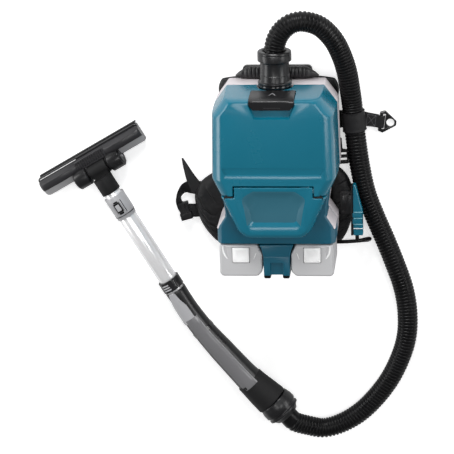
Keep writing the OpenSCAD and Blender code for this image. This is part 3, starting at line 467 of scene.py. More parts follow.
def fillet(poly, radii, k=6):
    """Polygon with each corner rounded by k + 1 points."""
    n = len(poly)
    out = []
    for i in range(n):
        p = Vector(poly[i])
        a, b = Vector(poly[i - 1]) - p, Vector(poly[(i + 1) % n]) - p
        r = radii[i] if isinstance(radii, (list, tuple)) else radii
        half = a.angle(b) / 2
        t = min(r / math.tan(half), 0.48 * a.length, 0.48 * b.length)
        p0, p1 = p + a.normalized() * t, p + b.normalized() * t
        for j in range(k + 1):
            f = j / k
            q = p0 * (1 - f) ** 2 + p * 2 * f * (1 - f) + p1 * f * f
            out.append((q.x, q.y))
    return out


# ---------------------------------------------------------------- unit body

BODY_HALF = 114.0
Z_FRONT = 188.0
TAB_X = 0.62 * BODY_HALF  # half width of the panel's tab in the cover
HINGE_Y, HINGE_Z = -29.25, Z_FRONT - 3.0
PORT_R, PORT_Z = 33.0, 92.0
LATCH_W, LATCH_Y, LATCH_Z = 80.0, 149.4, 132.0
WALL = 3.0
# radii of the hinge's knuckles and of the room round them
HINGE_R, HINGE_ROOM = 1.9, 2.1


def both_sides(half):
    """Closed outline from its right half, listed from the top down."""
    return half + [(-x, y) for x, y in half[::-1]]


def on_side(s, poly):
    """Polygon of the right side, mirrored where s is -1."""
    return [(s * x, y) for x, y in poly][::s]


def shell_form(outline, levels, radii):
    """Rings of an outline moved inward level by level: (z, edge insets, round).

    The radii are those of its right half's corners: the least, and how they grow.
    """
    rings = []
    for z, amounts, grow in levels:
        rounds = [max(r, grow * s) for r, s in radii + radii[::-1]]
        rings.append([(x, y, z) for x, y in fillet(inset(outline, amounts), rounds, 5)])
    return rings


COVER = both_sides([(88, 152), (111, 120), (114, 2), (100, -28), (TAB_X + 0.6, -28),
                    (TAB_X + 0.6, -9.3)])
# insets of the cover's edges at each height above the floor
COVER_LEVELS = [
    (z, [chamfer, side, side * 0.9, low, low, low, low, low, side * 0.9, side, chamfer, top],
     grow) for z, side, top, chamfer, low, grow in (
        (84.2, 0.0, 0.0, 0.0, 0.0, 2), (128, 0.8, 0.3, 0.6, 0.0, 3),
        (158, 2.4, 0.7, 2.0, 0.1, 5), (170, 4.2, 1.0, 4.0, 0.2, 7),
        (177.5, 7.6, 1.5, 7.0, 0.5, 10), (179, 9.0, 1.8, 8.2, 0.6, 11),
        (184.2, 15.5, 2.8, 11.5, 1.0, 14), (187, 20.0, 4.2, 14.2, 1.6, 17),
        (188, 23.0, 7.0, 16.0, 2.6, 20))]
COVER_RADII = [(3, 1), (3, 1), (6, 0.6), (3, 0.2), (0.8, 0), (3, 0.1)]


def make_cover():
    lid = fresh("cover_shell", skin(shell_form(COVER, COVER_LEVELS, COVER_RADII)), TEAL,
                "dust_cover", 24, body="cover")
    # hollow inside, open towards the rear shell
    inside = shell_form(inset(COVER, WALL), COVER_LEVELS, COVER_RADII)
    inside = [[(x, y, z - WALL if i else z - WALL - 1) for x, y, z in r]
              for i, r in enumerate(inside)]
    cut(lid, skin(inside), sharp=24)
    # seat of the latch: a block is left inside so that its pocket has walls
    seat = box(-LATCH_W / 2 - 4, LATCH_W / 2 + 4, 108, 147.4, 125.5, 186.2)
    cut(lid, seat, sharp=24, how="UNION")
    port = rod(PORT_R, -60, 20, (0, 152, PORT_Z), (0, 1, 0), 72)
    slot_below = box(-PORT_R, PORT_R, 112, 170, 70, PORT_Z)
    window = box(2 - TAB_X, TAB_X - 2, -16, 2, 83, 147)
    lug_room = [hinge_rod(HINGE_ROOM, s * x0, s * x1) for s in (-1, 1)
                for x0, x1 in ((TAB_X + 1.2, TAB_X + 5), (TAB_X + 15, TAB_X + 18.4))]
    cut(lid, port, slot_below, *latch_pocket(), window, *lug_room, sharp=24)
    # waist groove: a shallow band with a bright lower edge and slanted ends
    groove = skin([[(s * 92, 27.4, 188.02), (s * 92, 24.6, 187.1), (s * 87, 13.2, 186.5),
                    (s * 84, 9.6, 188.02), (s * 84, 9.6, 192), (s * 92, 27.4, 192)]
                   for s in (-1, 1)])
    cut(lid, groove, sharp=24)
    bevel(lid, 1.1, 3, 34)
    # the knuckles and leaves of the cover's hinge are matt black: painted shade that darkens the
    # hinge slots
    for s, side in SIDES:
        knuckle = hinge_rod(HINGE_R, s * (TAB_X + 5), s * (TAB_X + 15), 1.55)
        x0, x1 = sorted((s * (TAB_X + 5), s * (TAB_X + 15)))
        leaf = box(x0, x1, HINGE_Y + 1.2, HINGE_Y + 4.5, HINGE_Z - 1.8, HINGE_Z + 0.8)
        bevel(fresh(f"cover_knuckle_{side}", join(knuckle, leaf), MATT, body="cover"), 0.3)


def hinge_rod(r, x0, x1, bore=0.0):
    """Rod, or tube, along the cover's hinge line."""
    x0, x1 = sorted((x0, x1))
    return lathe([(bore, 0), (r, 0), (r, x1 - x0), (bore, x1 - x0)], (x0, HINGE_Y, HINGE_Z),
                 (1, 0, 0), 32, bore > 0)


def latch_pocket():
    """The latch's pocket over the top edge, with its finger recess in front."""
    w = LATCH_W / 2 + 1
    upper = box(-w, w, 147.0, 170, 128.6, 200)
    front = [(z, [(-a, 160), (-a, y0), (-b, y1), (b, y1), (a, y0), (a, 160)])
             for z, a, b, y0, y1 in ((179.6, w - 2.0, 30.5, 142.6, 118.8),
                                     (188.6, w + 0.6, 31.5, 141.4, 116.4))]
    return [upper, loft(*front)]


def make_latch():
    """Latch plate: a sloped upper facet, a ridge, and a lower facet over the recess."""
    w = LATCH_W / 2
    # profile up the top wall, over the ridge and down the front: (y, z, half width)
    outer = [(152.4, 127.4, w - 1), (153.6, 129.0, w), (153.6, 168, w), (152.2, 181, w),
             (149.4, 188.2, w), (147.4, 189.0, w), (141.6, 188.9, w - 0.2),
             (133.4, 187.6, w - 6.6), (132.0, 186.0, w - 7.4)]
    inner = [(148.2, 127.6, w - 1), (147.4, 129.4, w), (147.2, 166, w), (146.9, 177, w),
             (145.6, 181.6, w), (143.6, 181.9, w), (140.9, 182.0, w - 0.6),
             (133.6, 182.6, w - 6.8), (132.4, 184.0, w - 7.4)]
    rows = []
    for (y0, z0, h), (y1, z1, _) in zip(outer, inner):
        xs = [-h, -h + 1.2, -h / 3, h / 3, h - 1.2, h]
        rows.append([(x, y0, z0 - (0.5 if abs(x) == h else 0)) for x in xs]
                    + [(x, y1, z1) for x in xs[::-1]])
    latch = fresh("latch_plate", skin(rows), [GLOSS, BLACK], "cover_latch", 22, body="latch")
    for f in latch.data.polygons:
        if f.normal.y > 0.7 and f.center.z > 0.132:
            f.material_index = 1
    bevel(latch, 0.5, 3, 24)
    barrel = lathe([(0, 0), (1.6, 0), (1.6, 3), (2.1, 3.2), (2.1, LATCH_W + 2.8),
                    (1.6, LATCH_W + 3), (1.6, LATCH_W + 6), (0, LATCH_W + 6)],
                   (-w - 3, LATCH_Y, LATCH_Z), (1, 0, 0), 24, False)
    fresh("latch_pivot", barrel, BLACK, body="latch")
    # raised chevron on the upper facet
    arms = []
    for s in (-1, 1):
        arm = on_side(s, [(0, 3.0), (5.9, -11.5), (4.6, -11.5), (0, 0)])
        verts, faces = loft((0, arm), (0.5, arm))
        arms.append(([(x, 153.35 + z, 150 - y) for x, y, z in verts], faces))
    fresh("latch_chevron", join(*arms), SILVER, body="latch")
    # grip line across the lower facet
    fresh("latch_line", box(-14, 16, 137.0, 137.8, 187.9, 188.75), CHARCOAL, body="latch")


PANEL = both_sides([(TAB_X + 0.3, -9.55), (TAB_X + 0.3, -29.2), (96.5, -29.2), (72, -84),
                    (65.5, -97), (55, -105.4), (44, -108.6)])
PANEL_LEVELS = [
    (z, [tab, edge, side, side * 0.97, side * 0.95, low, low, low, side * 0.95, side * 0.97,
         side, edge, tab, tab], grow) for z, side, tab, edge, low, grow in (
        (150.2, 0.0, 0.0, 0.0, 0.0, 2), (168, 0.5, 0.1, 0.0, 0.3, 2),
        (178, 1.6, 0.2, 0.1, 1.2, 3), (184, 4.5, 0.4, 0.3, 3.4, 5),
        (187, 8.5, 0.8, 1.0, 7.5, 7), (188, 11.5, 1.6, 2.4, 11.0, 9))]
PANEL_RADII = [(2, 0.2), (1.2, 0), (2, 0.1), (10, 1.2), (12, 1.2), (14, 1.2), (20, 1)]


def make_panel():
    panel = fresh("panel_shell", skin(shell_form(PANEL, PANEL_LEVELS, PANEL_RADII)), TEAL,
                  "front_panel", 22)
    inside = shell_form(inset(PANEL, WALL), PANEL_LEVELS, PANEL_RADII)
    inside = [[(x, y, min(z, 182.0) - 1.5 * (i == 0)) for x, y, z in r]
              for i, r in enumerate(inside[:4])]
    cut(panel, skin(inside), sharp=22)
    # dished centre: long gentle slope in at the top, a short bright slope at the bottom
    rows = []
    for z, xt, yt, xb, yb in ((183.5, 46, -32, 39.5, -76.5), (186.2, 53, -22, 44.0, -82.5),
                              (188.03, 58, -17, 47.5, -87), (189.0, 60, -15.5, 49, -88.5)):
        poly = both_sides([(xt - 20, yt), (xt, yt - 13), (xt - 5, yt - 34), (xb, yb)])
        rows.append((z, fillet(poly, [12, 12, 20, 9, 9, 20, 12, 12], 5)))
    cut(panel, loft(*rows), *[hinge_rod(HINGE_ROOM, s * (TAB_X + 4.6), s * (TAB_X + 15.4))
                              for s in (-1, 1)], sharp=22)
    # the dish's floor and its faces turned away from +y get a finer, duller relief and a darker,
    # greyer teal that is painted shade; its slopes that face +y keep the panel's teal
    panel.data.materials.append(TEAL_PAINTED_SHADE)
    for f in panel.data.polygons:
        at = f.center / MM
        if at.z < 187.9 and abs(at.x) < 60 and -87 < at.y < -16 and f.normal.z > 0.5:
            f.material_index = 1 if f.normal.y < 0.12 else 0
    bevel(panel, 0.9, 3, 34)
    # the panel's hinge lugs are matt black: painted shade that darkens the hinge slots
    for s, side in SIDES:
        lugs = []
        for a, b in ((TAB_X + 1.6, TAB_X + 4.6), (TAB_X + 15.4, TAB_X + 18)):
            x0, x1 = sorted((s * a, s * b))
            lugs.append(hinge_rod(HINGE_R, x0, x1, 1.5))
            lugs.append(box(x0, x1, HINGE_Y - 4, HINGE_Y - 1.2, HINGE_Z - 1.8, HINGE_Z + 0.8))
        bevel(fresh(f"panel_lugs_{side}", join(*lugs), MATT), 0.3)


make_cover()
make_latch()
make_panel()

# ------------------------------------------------------------ hose and cable

HOSE_D = 38.0
END_RING = Vector((-0.011, -0.496, 0.034))
CUFF_DIR = Vector((14.5, -16.5, 0)).normalized()
# the route of the hose, in metres, from the inlet cuff to the handle's cuff
HOSE_ROUTE = [
    (0, 0.180, 0.092), (0, 0.198, 0.092), (0, 0.216, 0.092), (0.004, 0.236, 0.092),
    (0.014, 0.253, 0.092), (0.031, 0.266, 0.091), (0.055, 0.269, 0.088), (0.082, 0.258, 0.080),
    (0.104, 0.232, 0.069), (0.118, 0.200, 0.057), (0.127, 0.165, 0.045), (0.132, 0.124, 0.032),
    (0.1345, 0.098, 0.0245), (0.137, 0.067, 0.022), (0.140, 0.036, 0.022),
    (0.147, -0.019, 0.020), (0.1575, -0.071, 0.020), (0.174, -0.118, 0.020),
    (0.193, -0.165, 0.020), (0.211, -0.213, 0.020), (0.226, -0.260, 0.020),
    (0.233, -0.308, 0.020), (0.231, -0.357, 0.020), (0.217, -0.405, 0.020),
    (0.192, -0.454, 0.020), (0.153, -0.502, 0.020), (0.114, -0.531, 0.020),
    (0.075, -0.544, 0.022), (0.042, -0.537, 0.028),
    tuple(END_RING + 0.040 * CUFF_DIR), tuple(END_RING + 0.021 * CUFF_DIR),
    tuple(END_RING + 0.002 * CUFF_DIR)]
HOSE_RIBS = 176
CABLE_D = 7.0
# the route of the control cable, in metres, from the deck to the pod
CABLE_ROUTE = [
    (0.014, -0.140, 0.047), (0.014, -0.147, 0.047), (0.0155, -0.155, 0.042),
    (0.020, -0.160, 0.030), (0.038, -0.167, 0.016), (0.068, -0.172, 0.008),
    (0.099, -0.174, 0.005), (0.128, -0.173, 0.005), (0.150, -0.171, 0.005),
    (0.161, -0.168, 0.010), (0.164, -0.162, 0.021), (0.159, -0.158, 0.034),
    (0.150, -0.157, 0.044), (0.1428, -0.156, 0.048), (0.142, -0.149, 0.048),
    (0.142, -0.1398, 0.048)]


def tube_rings(path, radii, sides):
    """Rings of a round tube along a path, one radius for each point."""
    return [[tuple(c + (s * x + u * y) * r) for x, y in circle(sides, 0.5)]
            for (c, t, s, u), r in zip(frames(path), radii)]


def in_mm(route):
    return [Vector(p) * 1000 for p in route]


def walk(path, marks):
    """Points at given lengths along an even path."""
    step = (path[1] - path[0]).length
    out = []
    for s in marks:
        i = min(int(s / step), len(path) - 2)
        out.append(path[i].lerp(path[i + 1], min(1.0, s / step - i)))
    return out


def make_hose():
    path, total = smooth_path(in_mm(HOSE_ROUTE), 1.0)
    plain = HOSE_D  # length of the smooth stretch at each end
    pitch = (total - 2 * plain) / HOSE_RIBS
    crest, root = HOSE_D / 2, HOSE_D / 2 - 1.9
    marks, radii = [0.0, plain - 1], [crest - 0.4] * 2
    # a rib: root, steep flank, rounded crest, steep flank
    shape = [(0.00, root), (0.16, root), (0.30, crest - 0.35), (0.42, crest),
             (0.66, crest), (0.78, crest - 0.35), (0.90, root)]
    for i in range(HOSE_RIBS):
        for f, r in shape:
            marks.append(plain + (i + f) * pitch)
            radii.append(r)
    marks += [total - plain + 1, total]
    radii += [crest - 0.4] * 2
    hose = fresh("hose_ribbed", skin(tube_rings(walk(path, marks), radii, 40)), RUBBER, "hose", 50)


def make_cable():
    path, total = smooth_path(in_mm(CABLE_ROUTE), 2.0)
    lead = fresh("pod_cable", skin(tube_rings(path, [CABLE_D / 2] * len(path), 20)), RUBBER,
                 "control_cable", 50)
    # the tapered relief, ringed, where the cable leaves the deck wall
    rows = [(6.6, 0), (6.6, 2.6), (5.2, 3.4)]
    for i in range(5):
        s = 4.0 + i * 3.0
        r = 5.0 - 0.22 * i
        rows += [(r, s), (r, s + 1.7), (r - 0.9, s + 1.9), (r - 0.9, s + 2.8)]
    route = walk(smooth_path(in_mm([(0.014, -0.131, 0.047)] + CABLE_ROUTE[:5]), 1.0)[0],
                 [s for _, s in rows])
    relief = fresh("cable_relief", skin(tube_rings(route, [r for r, _ in rows], 24)), BLACK,
                   "cable_gland", 30)


make_hose()
make_cable()

# ------------------------------------------------- housing, foot, batteries

HOUSE = both_sides([(70.2, -11), (70.2, -30), (98, -30), (92, -76), (108, -101),
                    (108, -131)])
HOUSE_RADII = [(1, 0), (1, 0), (3, 0.2), (6, 0.4), (4, 0.3), (3, 0.2)]
BATTERY = [(35.5, -131.4), (103, -131.4), (104, -139), (104, -187), (99, -192), (35, -192),
           (26, -183), (26, -150)]
BATTERY_RADII = [4, 2.5, 3, 5, 6, 9, 14, 5]


def make_housing():
    levels = [
        (z, [0, 0, side * 0.4, side * 0.42, side, deck, side, side * 0.42, side * 0.4, 0, 0, 0],
         4 + 2 * i) for i, (z, side, deck) in enumerate((
            (84.0, 0, 0), (86, 0, 0), (136, 0.8, 0.3), (141, 2.6, 0.8), (147.4, 6.6, 1.6),
            (149.4, 8.4, 2.6), (150, 9.8, 3.6)))]
    housing = fresh("housing_shell", skin(shell_form(HOUSE, levels, HOUSE_RADII)), TEAL_DARK,
                    "motor_housing", 20)
    hollow = [(z, [a + WALL for a in amounts], grow) for z, amounts, grow in levels[:4]]
    inside = shell_form(HOUSE, hollow, HOUSE_RADII)
    inside = [[(x, y, z - 2 * (i == 0)) for x, y, z in r] for i, r in enumerate(inside)]
    cut(housing, skin(inside), rod(26, -40, 30, (0, -11, 94), (0, 1, 0), 64), sharp=20)
    # shadow line along the deck's edge
    cut(housing, box(-92, 92, -128.6, -127.7, 149.2, 152), sharp=20)
    bevel(housing, 0.5, 2, 30)
    a, b = Vector((92.4, -78.2)), Vector((107.4, -101.6))
    t = (b - a).normalized()
    n = Vector((-t.y, t.x))
    for s, side in SIDES:
        # white ear of the rear shell that stands up along the waist
        ear = []
        for z, out, run_in in ((84.2, 0.7, 0.0), (86, 0.9, 0.0), (140, 0.7, 0.0),
                               (144.2, -1.2, 0.4)):
            a2, b2 = a + t * run_in, b - t * run_in
            ring = [a2 - n * 2.2, a2 + n * out, b2 + n * out, b2 - n * 2.2]
            ear.append([(s * p.x, p.y, z) for p in (ring if s > 0 else ring[::-1])])
        bevel(fresh(f"shell_ear_{side}", skin(ear), WHITE), 0.55, 2, 25)
        # posts of the control board, in the room behind the panel
        fresh(f"board_post_{side}", rod(4, 0, 7, (s * 54, -105, 140.8), (0, 0, 1), 20),
              TEAL_DARK)


def make_foot():
    lower = both_sides([(24.2, -152.6), (23.7, -188), (23.5, -190.6)])
    flare = both_sides([(31.0, -131.2), (27.2, -141), (24.6, -152.6), (24.0, -158)])
    form = stack(lower, [1.5, 1.5, 2, 2, 1.5, 1.5], 3, (60, 1.0), (61, 0.1), (148.2, 0.0),
                 (149.6, 0.7), (150, 1.6))
    foot = fresh("foot_lower", form, TEAL_DARK, "stand_foot", 25)
    recess = loft((145.2, both_sides([(10.6, -166.4), (12.0, -190)])),
                  (151.0, both_sides([(12.2, -164.9), (13.6, -196)])))
    cut(foot, box(-10.5, 10.5, -199, -189.6, 55, 152), recess, sharp=25)
    bevel(foot, 0.7, 3, 28)
    form = stack(flare, 1.2, 2, (60.4, 0.6), (61.4, 0.0), (147.4, 0.0), (148.9, 0.8),
                 (149.2, 1.6))
    top = fresh("foot_flare", form, TEAL_DARK, sharp=25)
    bevel(top, 0.5, 2, 28)
    tip = fillet([(11.0, -190.0), (24.1, -190.0), (23.2, -193.4), (21.6, -195.4), (13, -195.4),
                  (11.0, -193.8)], 1.2, 3)
    for s, side in SIDES:
        half = on_side(s, tip)
        fresh(f"foot_tip_{side}", loft((60.6, half), (149.0, half)), RUBBER)


def make_battery(s, side):
    body = f"battery_{side[0]}"
    levels = [(z, on_side(s, fillet(inset(BATTERY, d), BATTERY_RADII, 5))) for z, d in (
        (37, 2.2), (39, 0.4), (41, 0), (144.4, 0), (146.8, 0.7), (148.2, 1.8), (149, 3.3))]
    case = fresh(f"battery_case_{side}", loft(*levels), GHOST, f"battery_{side}", 22, body=body)
    x = 65 * s
    # grooves of the dock's rail, and the key's pocket
    cut(case, box(x - 14.5, x + 14.5, -136, -130, 30, 141.5),
        box(x - 26.5, x + 26.5, -140.6, -135.4, 30, 141.5),
        box(x - 16.2, x + 16.2, -165.5, -136.0, 144, 152), sharp=22)
    # finger scoop by the outer corner, between the key and the flank
    scoop = []
    for y, half, depth in ((-134.0, 3.0, 1.3), (-142, 4.6, 1.9), (-150, 4.6, 1.9),
                           (-157, 2.6, 1.0)):
        c = s * ramp([(-158, 88.2), (-150, 91.4), (-134, 93.6)], y)
        scoop.append([(c - half, y, 149.6), (c, y, 149 - depth), (c + half, y, 149.6),
                      (c, y, 151)])
    cut(case, skin(scoop), sharp=22)
    bevel(case, 0.45, 2, 30)
    # raised white strip along the scoop, and the white slanted bar on the inner side: painted
    # highlights that stand for the shine on the grey case's edges
    smooth, _ = smooth_path([(s * a, b, 148.75) for a, b in (
        (97.4, -133.6), (97.2, -141), (95.8, -148), (92.6, -154.4), (89.6, -158.0))], 1.2)
    rows = []
    for i, (c, t, side_v, up) in enumerate(frames(smooth)):
        f = i / (len(smooth) - 1)
        w = 0.35 + 1.25 * math.sin(math.pi * min(1.0, 0.12 + 0.88 * f)) ** 0.8
        rows.append([tuple(c + side_v * (w * a) + up * b) for a, b in
                     ((-1, -0.3), (-0.7, 0.45), (0, 0.62), (0.7, 0.45), (1, -0.3))])
    fresh(f"battery_ridge_{side}", skin(rows), BRIGHT, body=body)
    glint_bar = []
    for a, b, w in ((37.0, -146.4, 0.5), (39.0, -151.6, 0.9), (41.4, -158.6, 0.4)):
        glint_bar.append([(s * (a - w), b, 148.8), (s * (a - w * 0.6), b, 149.45),
                     (s * (a + w * 0.6), b, 149.45), (s * (a + w), b, 148.8)])
    fresh(f"battery_mark_{side}", skin(glint_bar), BRIGHT, body=body)
    # grip ribs down the lower end
    ribs = [box(x - 24 + 6 * k, x - 22.2 + 6 * k, -192.4, -190, 60, 132) for k in range(9)]
    bevel(fresh(f"battery_ribs_{side}", join(*ribs), GHOST, body=body), 0.3)
    # release key: its stem is shorter than its cap, which slides over the case
    rows = []
    for z, d, end in ((144.5, 0.4, -159.7), (149.1, 0, -159.7), (149.15, 0, -164.9),
                      (149.5, 0, -164.9), (150.3, 0.5, -164.9), (150.8, 1.5, -164.9)):
        corners = [(x - 15.3, -136.6), (x + 15.3, -136.6), (x + 15.3, end), (x - 15.3, end)]
        rows.append((z, fillet(inset(corners, d), 2.6, 4)))
    key = fresh(f"battery_key_top_{side}", loft(*rows), BRIGHT, f"battery_button_{side}", 28,
                body=f"battery_key_{side[0]}")
    dent = [(x - 8.2, -141.4), (x + 8.2, -141.4), (x + 8.2, -157), (x - 8.2, -157)]
    cut(key, box(x - 12.9, x + 12.9, -162.0, -161.0, 150.0, 152),
        loft((150.35, inset(dent, 1.6)), (151.2, inset(dent, -1.0))), sharp=28)
    bevel(key, 0.25, 2, 28)


make_housing()
make_foot()
for sign, hand in SIDES:
    make_battery(sign, hand)

# ------------------------------------------------------------- soft pieces

# highest points of the pads, which lie under the frame, and of the straps and wings
PAD_TOP, SOFT_TOP = 27.7, 31.0
SEAM_Z = 13.5
# centre lines and widths of the padded straps and wings, in millimetres
STRAP_ROUTE = [(52, 146), (72, 154), (90, 148), (96, 124), (95.5, 92), (94, 40), (92, -10)]
STRAP_W = [34, 40, 40, 32, 20, 16, 16]
WING_RIGHT = [(94, -30), (104, -48), (110, -70), (111, -92), (109, -118), (104, -146),
              (101, -168)]
WING_RIGHT_W = [34, 46, 51, 53, 49, 40, 24]
WING_LEFT = [(-104, -42), (-110, -54), (-119, -68), (-123, -83), (-120.5, -104),
             (-118.5, -122), (-116, -135), (-113, -149), (-112, -163), (-111, -174)]
WING_LEFT_W = [44, 58, 76, 84, 81, 73, 64, 54, 36, 16]
# folds of the wings: points along the lip, its height and its width
FOLDS_LEFT = [
    ([(-171.4, -51.3), (-164.9, -69.2), (-151.1, -81.9), (-139.6, -101), (-127.7, -110.5)],
     3.0, 7),
    ([(-154.5, -92.5), (-145.9, -109.5), (-132.3, -128.6), (-120.3, -135)], 2.8, 6),
    ([(-146.6, -123), (-131.8, -138.9), (-121, -146)], 2.4, 5),
    ([(-136, -62), (-122, -84), (-106, -98)], 2.2, 7),
    ([(-128, -150), (-119, -158), (-108, -160)], 1.6, 4)]
FOLDS_RIGHT = [
    ([(108, -52), (120, -46), (129, -38)], 1.8, 5),
    ([(104, -90), (118, -82), (134, -74)], 2.2, 5),
    ([(102, -112), (116, -104), (134, -94)], 2.4, 5),
    ([(102, -130), (116, -122), (133, -112)], 2.2, 4.5),
    ([(102, -148), (112, -141), (126, -130)], 1.8, 4)]


def band_outline(route, widths):
    """Closed outline round a band of changing width, in the plane."""
    path, _ = smooth_path([(x, y, 0) for x, y in route], 4.0)
    stops = [(i / (len(route) - 1), w / 2) for i, w in enumerate(widths)]
    left, right = [], []
    for i, (c, t, s, u) in enumerate(frames(path)):
        w = ramp(stops, i / (len(path) - 1))
        left.append((c.x + s.x * w, c.y + s.y * w))
        right.append((c.x - s.x * w, c.y - s.y * w))
    return left + right[::-1]


def rounded_rectangle(w, y0, y1, r):
    return fillet([(-w, y0), (w, y0), (w, y1), (-w, y1)], r, 8)


# node: material, fill, voxel in metres, rounds of subdivision, outline of its seam
PADDED = {
    "back_pad_upper": (FABRIC, 0.6, 0.005, 1, rounded_rectangle(73, 27, 131, 18)),
    "back_pad_lower": (FABRIC, 0.6, 0.005, 1, rounded_rectangle(73, -121, 22, 18)),
    "shoulder_strap_right": (CLOTH, 0.5, 0.004, 1, band_outline(STRAP_ROUTE, STRAP_W)),
    "shoulder_strap_left": (CLOTH, 0.5, 0.004, 1, band_outline(
        [(-x, y) for x, y in STRAP_ROUTE], STRAP_W)),
    "hip_wing_right": (CLOTH, 0.55, 0.004, 2, band_outline(WING_RIGHT, WING_RIGHT_W)),
    "hip_wing_left": (CLOTH, 0.5, 0.004, 2, band_outline(WING_LEFT, WING_LEFT_W)),
}
SMOOTH = 180  # shading angle of a piece without sharp edges
WELD_GAP = 0.000002
CLOTH_STEPS = 20
SWELL_CAP = 5.0
SHRINK = 1.3
TURN_Y = 134.0


def remeshed(title, voxel):
    """Even closed mesh of a soft CAD solid, a little smaller than it."""
    obj = placed(f"{title}_work", NODES[title].data.copy())
    obj.modifiers.new("weld", "WELD").merge_threshold = WELD_GAP
    mod = obj.modifiers.new("even", "REMESH")
    mod.mode = "VOXEL"
    mod.voxel_size = voxel
    bake(obj, SMOOTH)
    mesh = obj.data
    verts = [v.co - v.normal * SHRINK * MM for v in mesh.vertices]
    faces = [tuple(p.vertices) for p in mesh.polygons]
    bpy.data.objects.remove(obj)
    return verts, faces


def swollen(shapes):
    """One cloth simulation under pressure for all the padded pieces together."""
    mesh = bpy.data.meshes.new("cloth")
    verts, faces = join(*shapes.values())
    mesh.from_pydata(verts, [], faces)
    obj = placed("cloth", mesh)
    mod = obj.modifiers.new("cloth", "CLOTH")
    for key, value in {"quality": 5, "mass": 0.3, "tension_stiffness": 15,
                       "compression_stiffness": 15, "bending_stiffness": 0.5,
                       "use_pressure": True, "uniform_pressure_force": 4.0}.items():
        setattr(mod.settings, key, value)
    mod.settings.effector_weights.gravity = 0
    mod.point_cache.frame_start = 1
    mod.point_cache.frame_end = CLOTH_STEPS
    for step in range(1, CLOTH_STEPS + 1):
        bpy.context.scene.frame_set(step)
    graph = bpy.context.evaluated_depsgraph_get()
    swelled = [v.co.copy() for v in obj.evaluated_get(graph).data.vertices]
    bpy.context.scene.frame_set(1)
    bpy.data.objects.remove(obj)
    out, base = {}, 0
    for title, (before, _) in shapes.items():
        out[title] = []
        for a, b in zip(before, swelled[base:]):
            shift = b - a
            if shift.length > SWELL_CAP * MM:
                shift *= SWELL_CAP * MM / shift.length
            out[title].append(a + shift)
        base += len(before)
    return out


def kept_level(piece, low, high):
    """Flattens a soft piece against the floor under it and the frame over it."""
    for v in piece.data.vertices:
        v.co.z = min(max(v.co.z, low * MM), high * MM)


def raised(mesh, shifts):
    """Moves each point of a mesh up by its own millimetres."""
    for v, shift in zip(mesh.vertices, shifts):
        v.co.z += shift * MM


def crease(piece, folds):
    """Raises soft lips with a groove beside them along the upper side of a piece."""
    mesh = piece.data
    shifts = []
    for v in mesh.vertices:
        up = max(0.0, v.normal.z)
        x, y = v.co.x / MM, v.co.y / MM
        rise = 0.0
        for points, height, width in folds:
            best, side, along = 1e9, 0.0, 0.0
            n = len(points) - 1
            for i, ((ax, ay), (bx, by)) in enumerate(zip(points, points[1:])):
                dx, dy = bx - ax, by - ay
                f = max(0.0, min(1.0, ((x - ax) * dx + (y - ay) * dy) / (dx * dx + dy * dy)))
                px, py = x - ax - f * dx, y - ay - f * dy
                d = math.hypot(px, py)
                if d < best:
                    best, side, along = d, dx * py - dy * px, (i + f) / n
            if best > 3 * width:
                continue
            t = best / width if side > 0 else -best / width
            lip = math.exp(-t * t) if t > 0 else math.exp(-9 * t * t)
            lip -= 0.75 * math.exp(-((t + 0.55) / 0.35) ** 2)
            rise += height * lip * math.sin(math.pi * (0.12 + 0.76 * along)) ** 0.6
        drift = noise.noise(Vector((x, y, 3.0)) * 0.05) * 1.1
        drift += noise.noise(Vector((x, y, 9.0)) * 0.16) * 0.45
        shifts.append((rise + drift) * up)
    raised(mesh, shifts)


def sew(piece, marks):
    """Presses straight seams into the side of a pad that lies on the wearer."""
    mesh = piece.data
    shifts = []
    for v in mesh.vertices:
        down = max(0.0, -v.normal.z)
        y = v.co.y / MM
        edge = max(0.0, 1 - (abs(v.co.x) / MM / 70) ** 8)
        depth = sum(3.2 * math.exp(-((y - m) / 2.6) ** 2) for m in marks)
        shifts.append(depth * down * edge)
    raised(mesh, shifts)


def closed_tube(points, r, sides=8):
    n = len(points)
    rings = []
    for i, p in enumerate(points):
        t = (points[(i + 1) % n] - points[i - 1]).normalized()
        s = t.cross(Vector((0, 0, 1))).normalized()
        u = s.cross(t)
        rings.append([tuple(p + (s * x + u * y) * r) for x, y in circle(sides)])
    return skin(rings, loop=True)


def hem(piece, outline, z, r=1.5):
    """Piping sewn round a padded piece, on the edge that its mesh really has."""
    near = [v.co / MM for v in piece.data.vertices if abs(v.co.z / MM - z) < 4]
    tree = KDTree(len(near))
    for i, p in enumerate(near):
        tree.insert((p.x, p.y, 0), i)
    tree.balance()
    spaced = []
    for (ax, ay), (bx, by) in zip(outline, outline[1:] + outline[:1]):
        n = max(1, int(math.hypot(bx - ax, by - ay) / 4))
        spaced += [(ax + (bx - ax) * k / n, ay + (by - ay) * k / n) for k in range(n)]
    line = [Vector((p[0], p[1], z)) for p, _, _ in
            (tree.find((x, y, 0)) for x, y in spaced)]
    for _ in range(3):
        line = [(line[i - 1] + line[i] * 2 + line[(i + 1) % len(line)]) / 4
                for i in range(len(line))]
    line = [p for i, p in enumerate(line) if (p - line[i - 1]).length > 0.8]
    fresh(f"{piece.name}_piping", closed_tube(line, r), WEBBING, sharp=80)


# what is pressed or raised on each padded piece
RELIEFS = {"hip_wing_left": (crease, FOLDS_LEFT), "hip_wing_right": (crease, FOLDS_RIGHT),
           "back_pad_upper": (sew, [61.7, 96.3]),
           "back_pad_lower": (sew, [-85.2, -49.5, -13.8])}


def subdivided(piece, rounds):
    sub = piece.modifiers.new("smooth", "SUBSURF")
    sub.levels = sub.render_levels = rounds


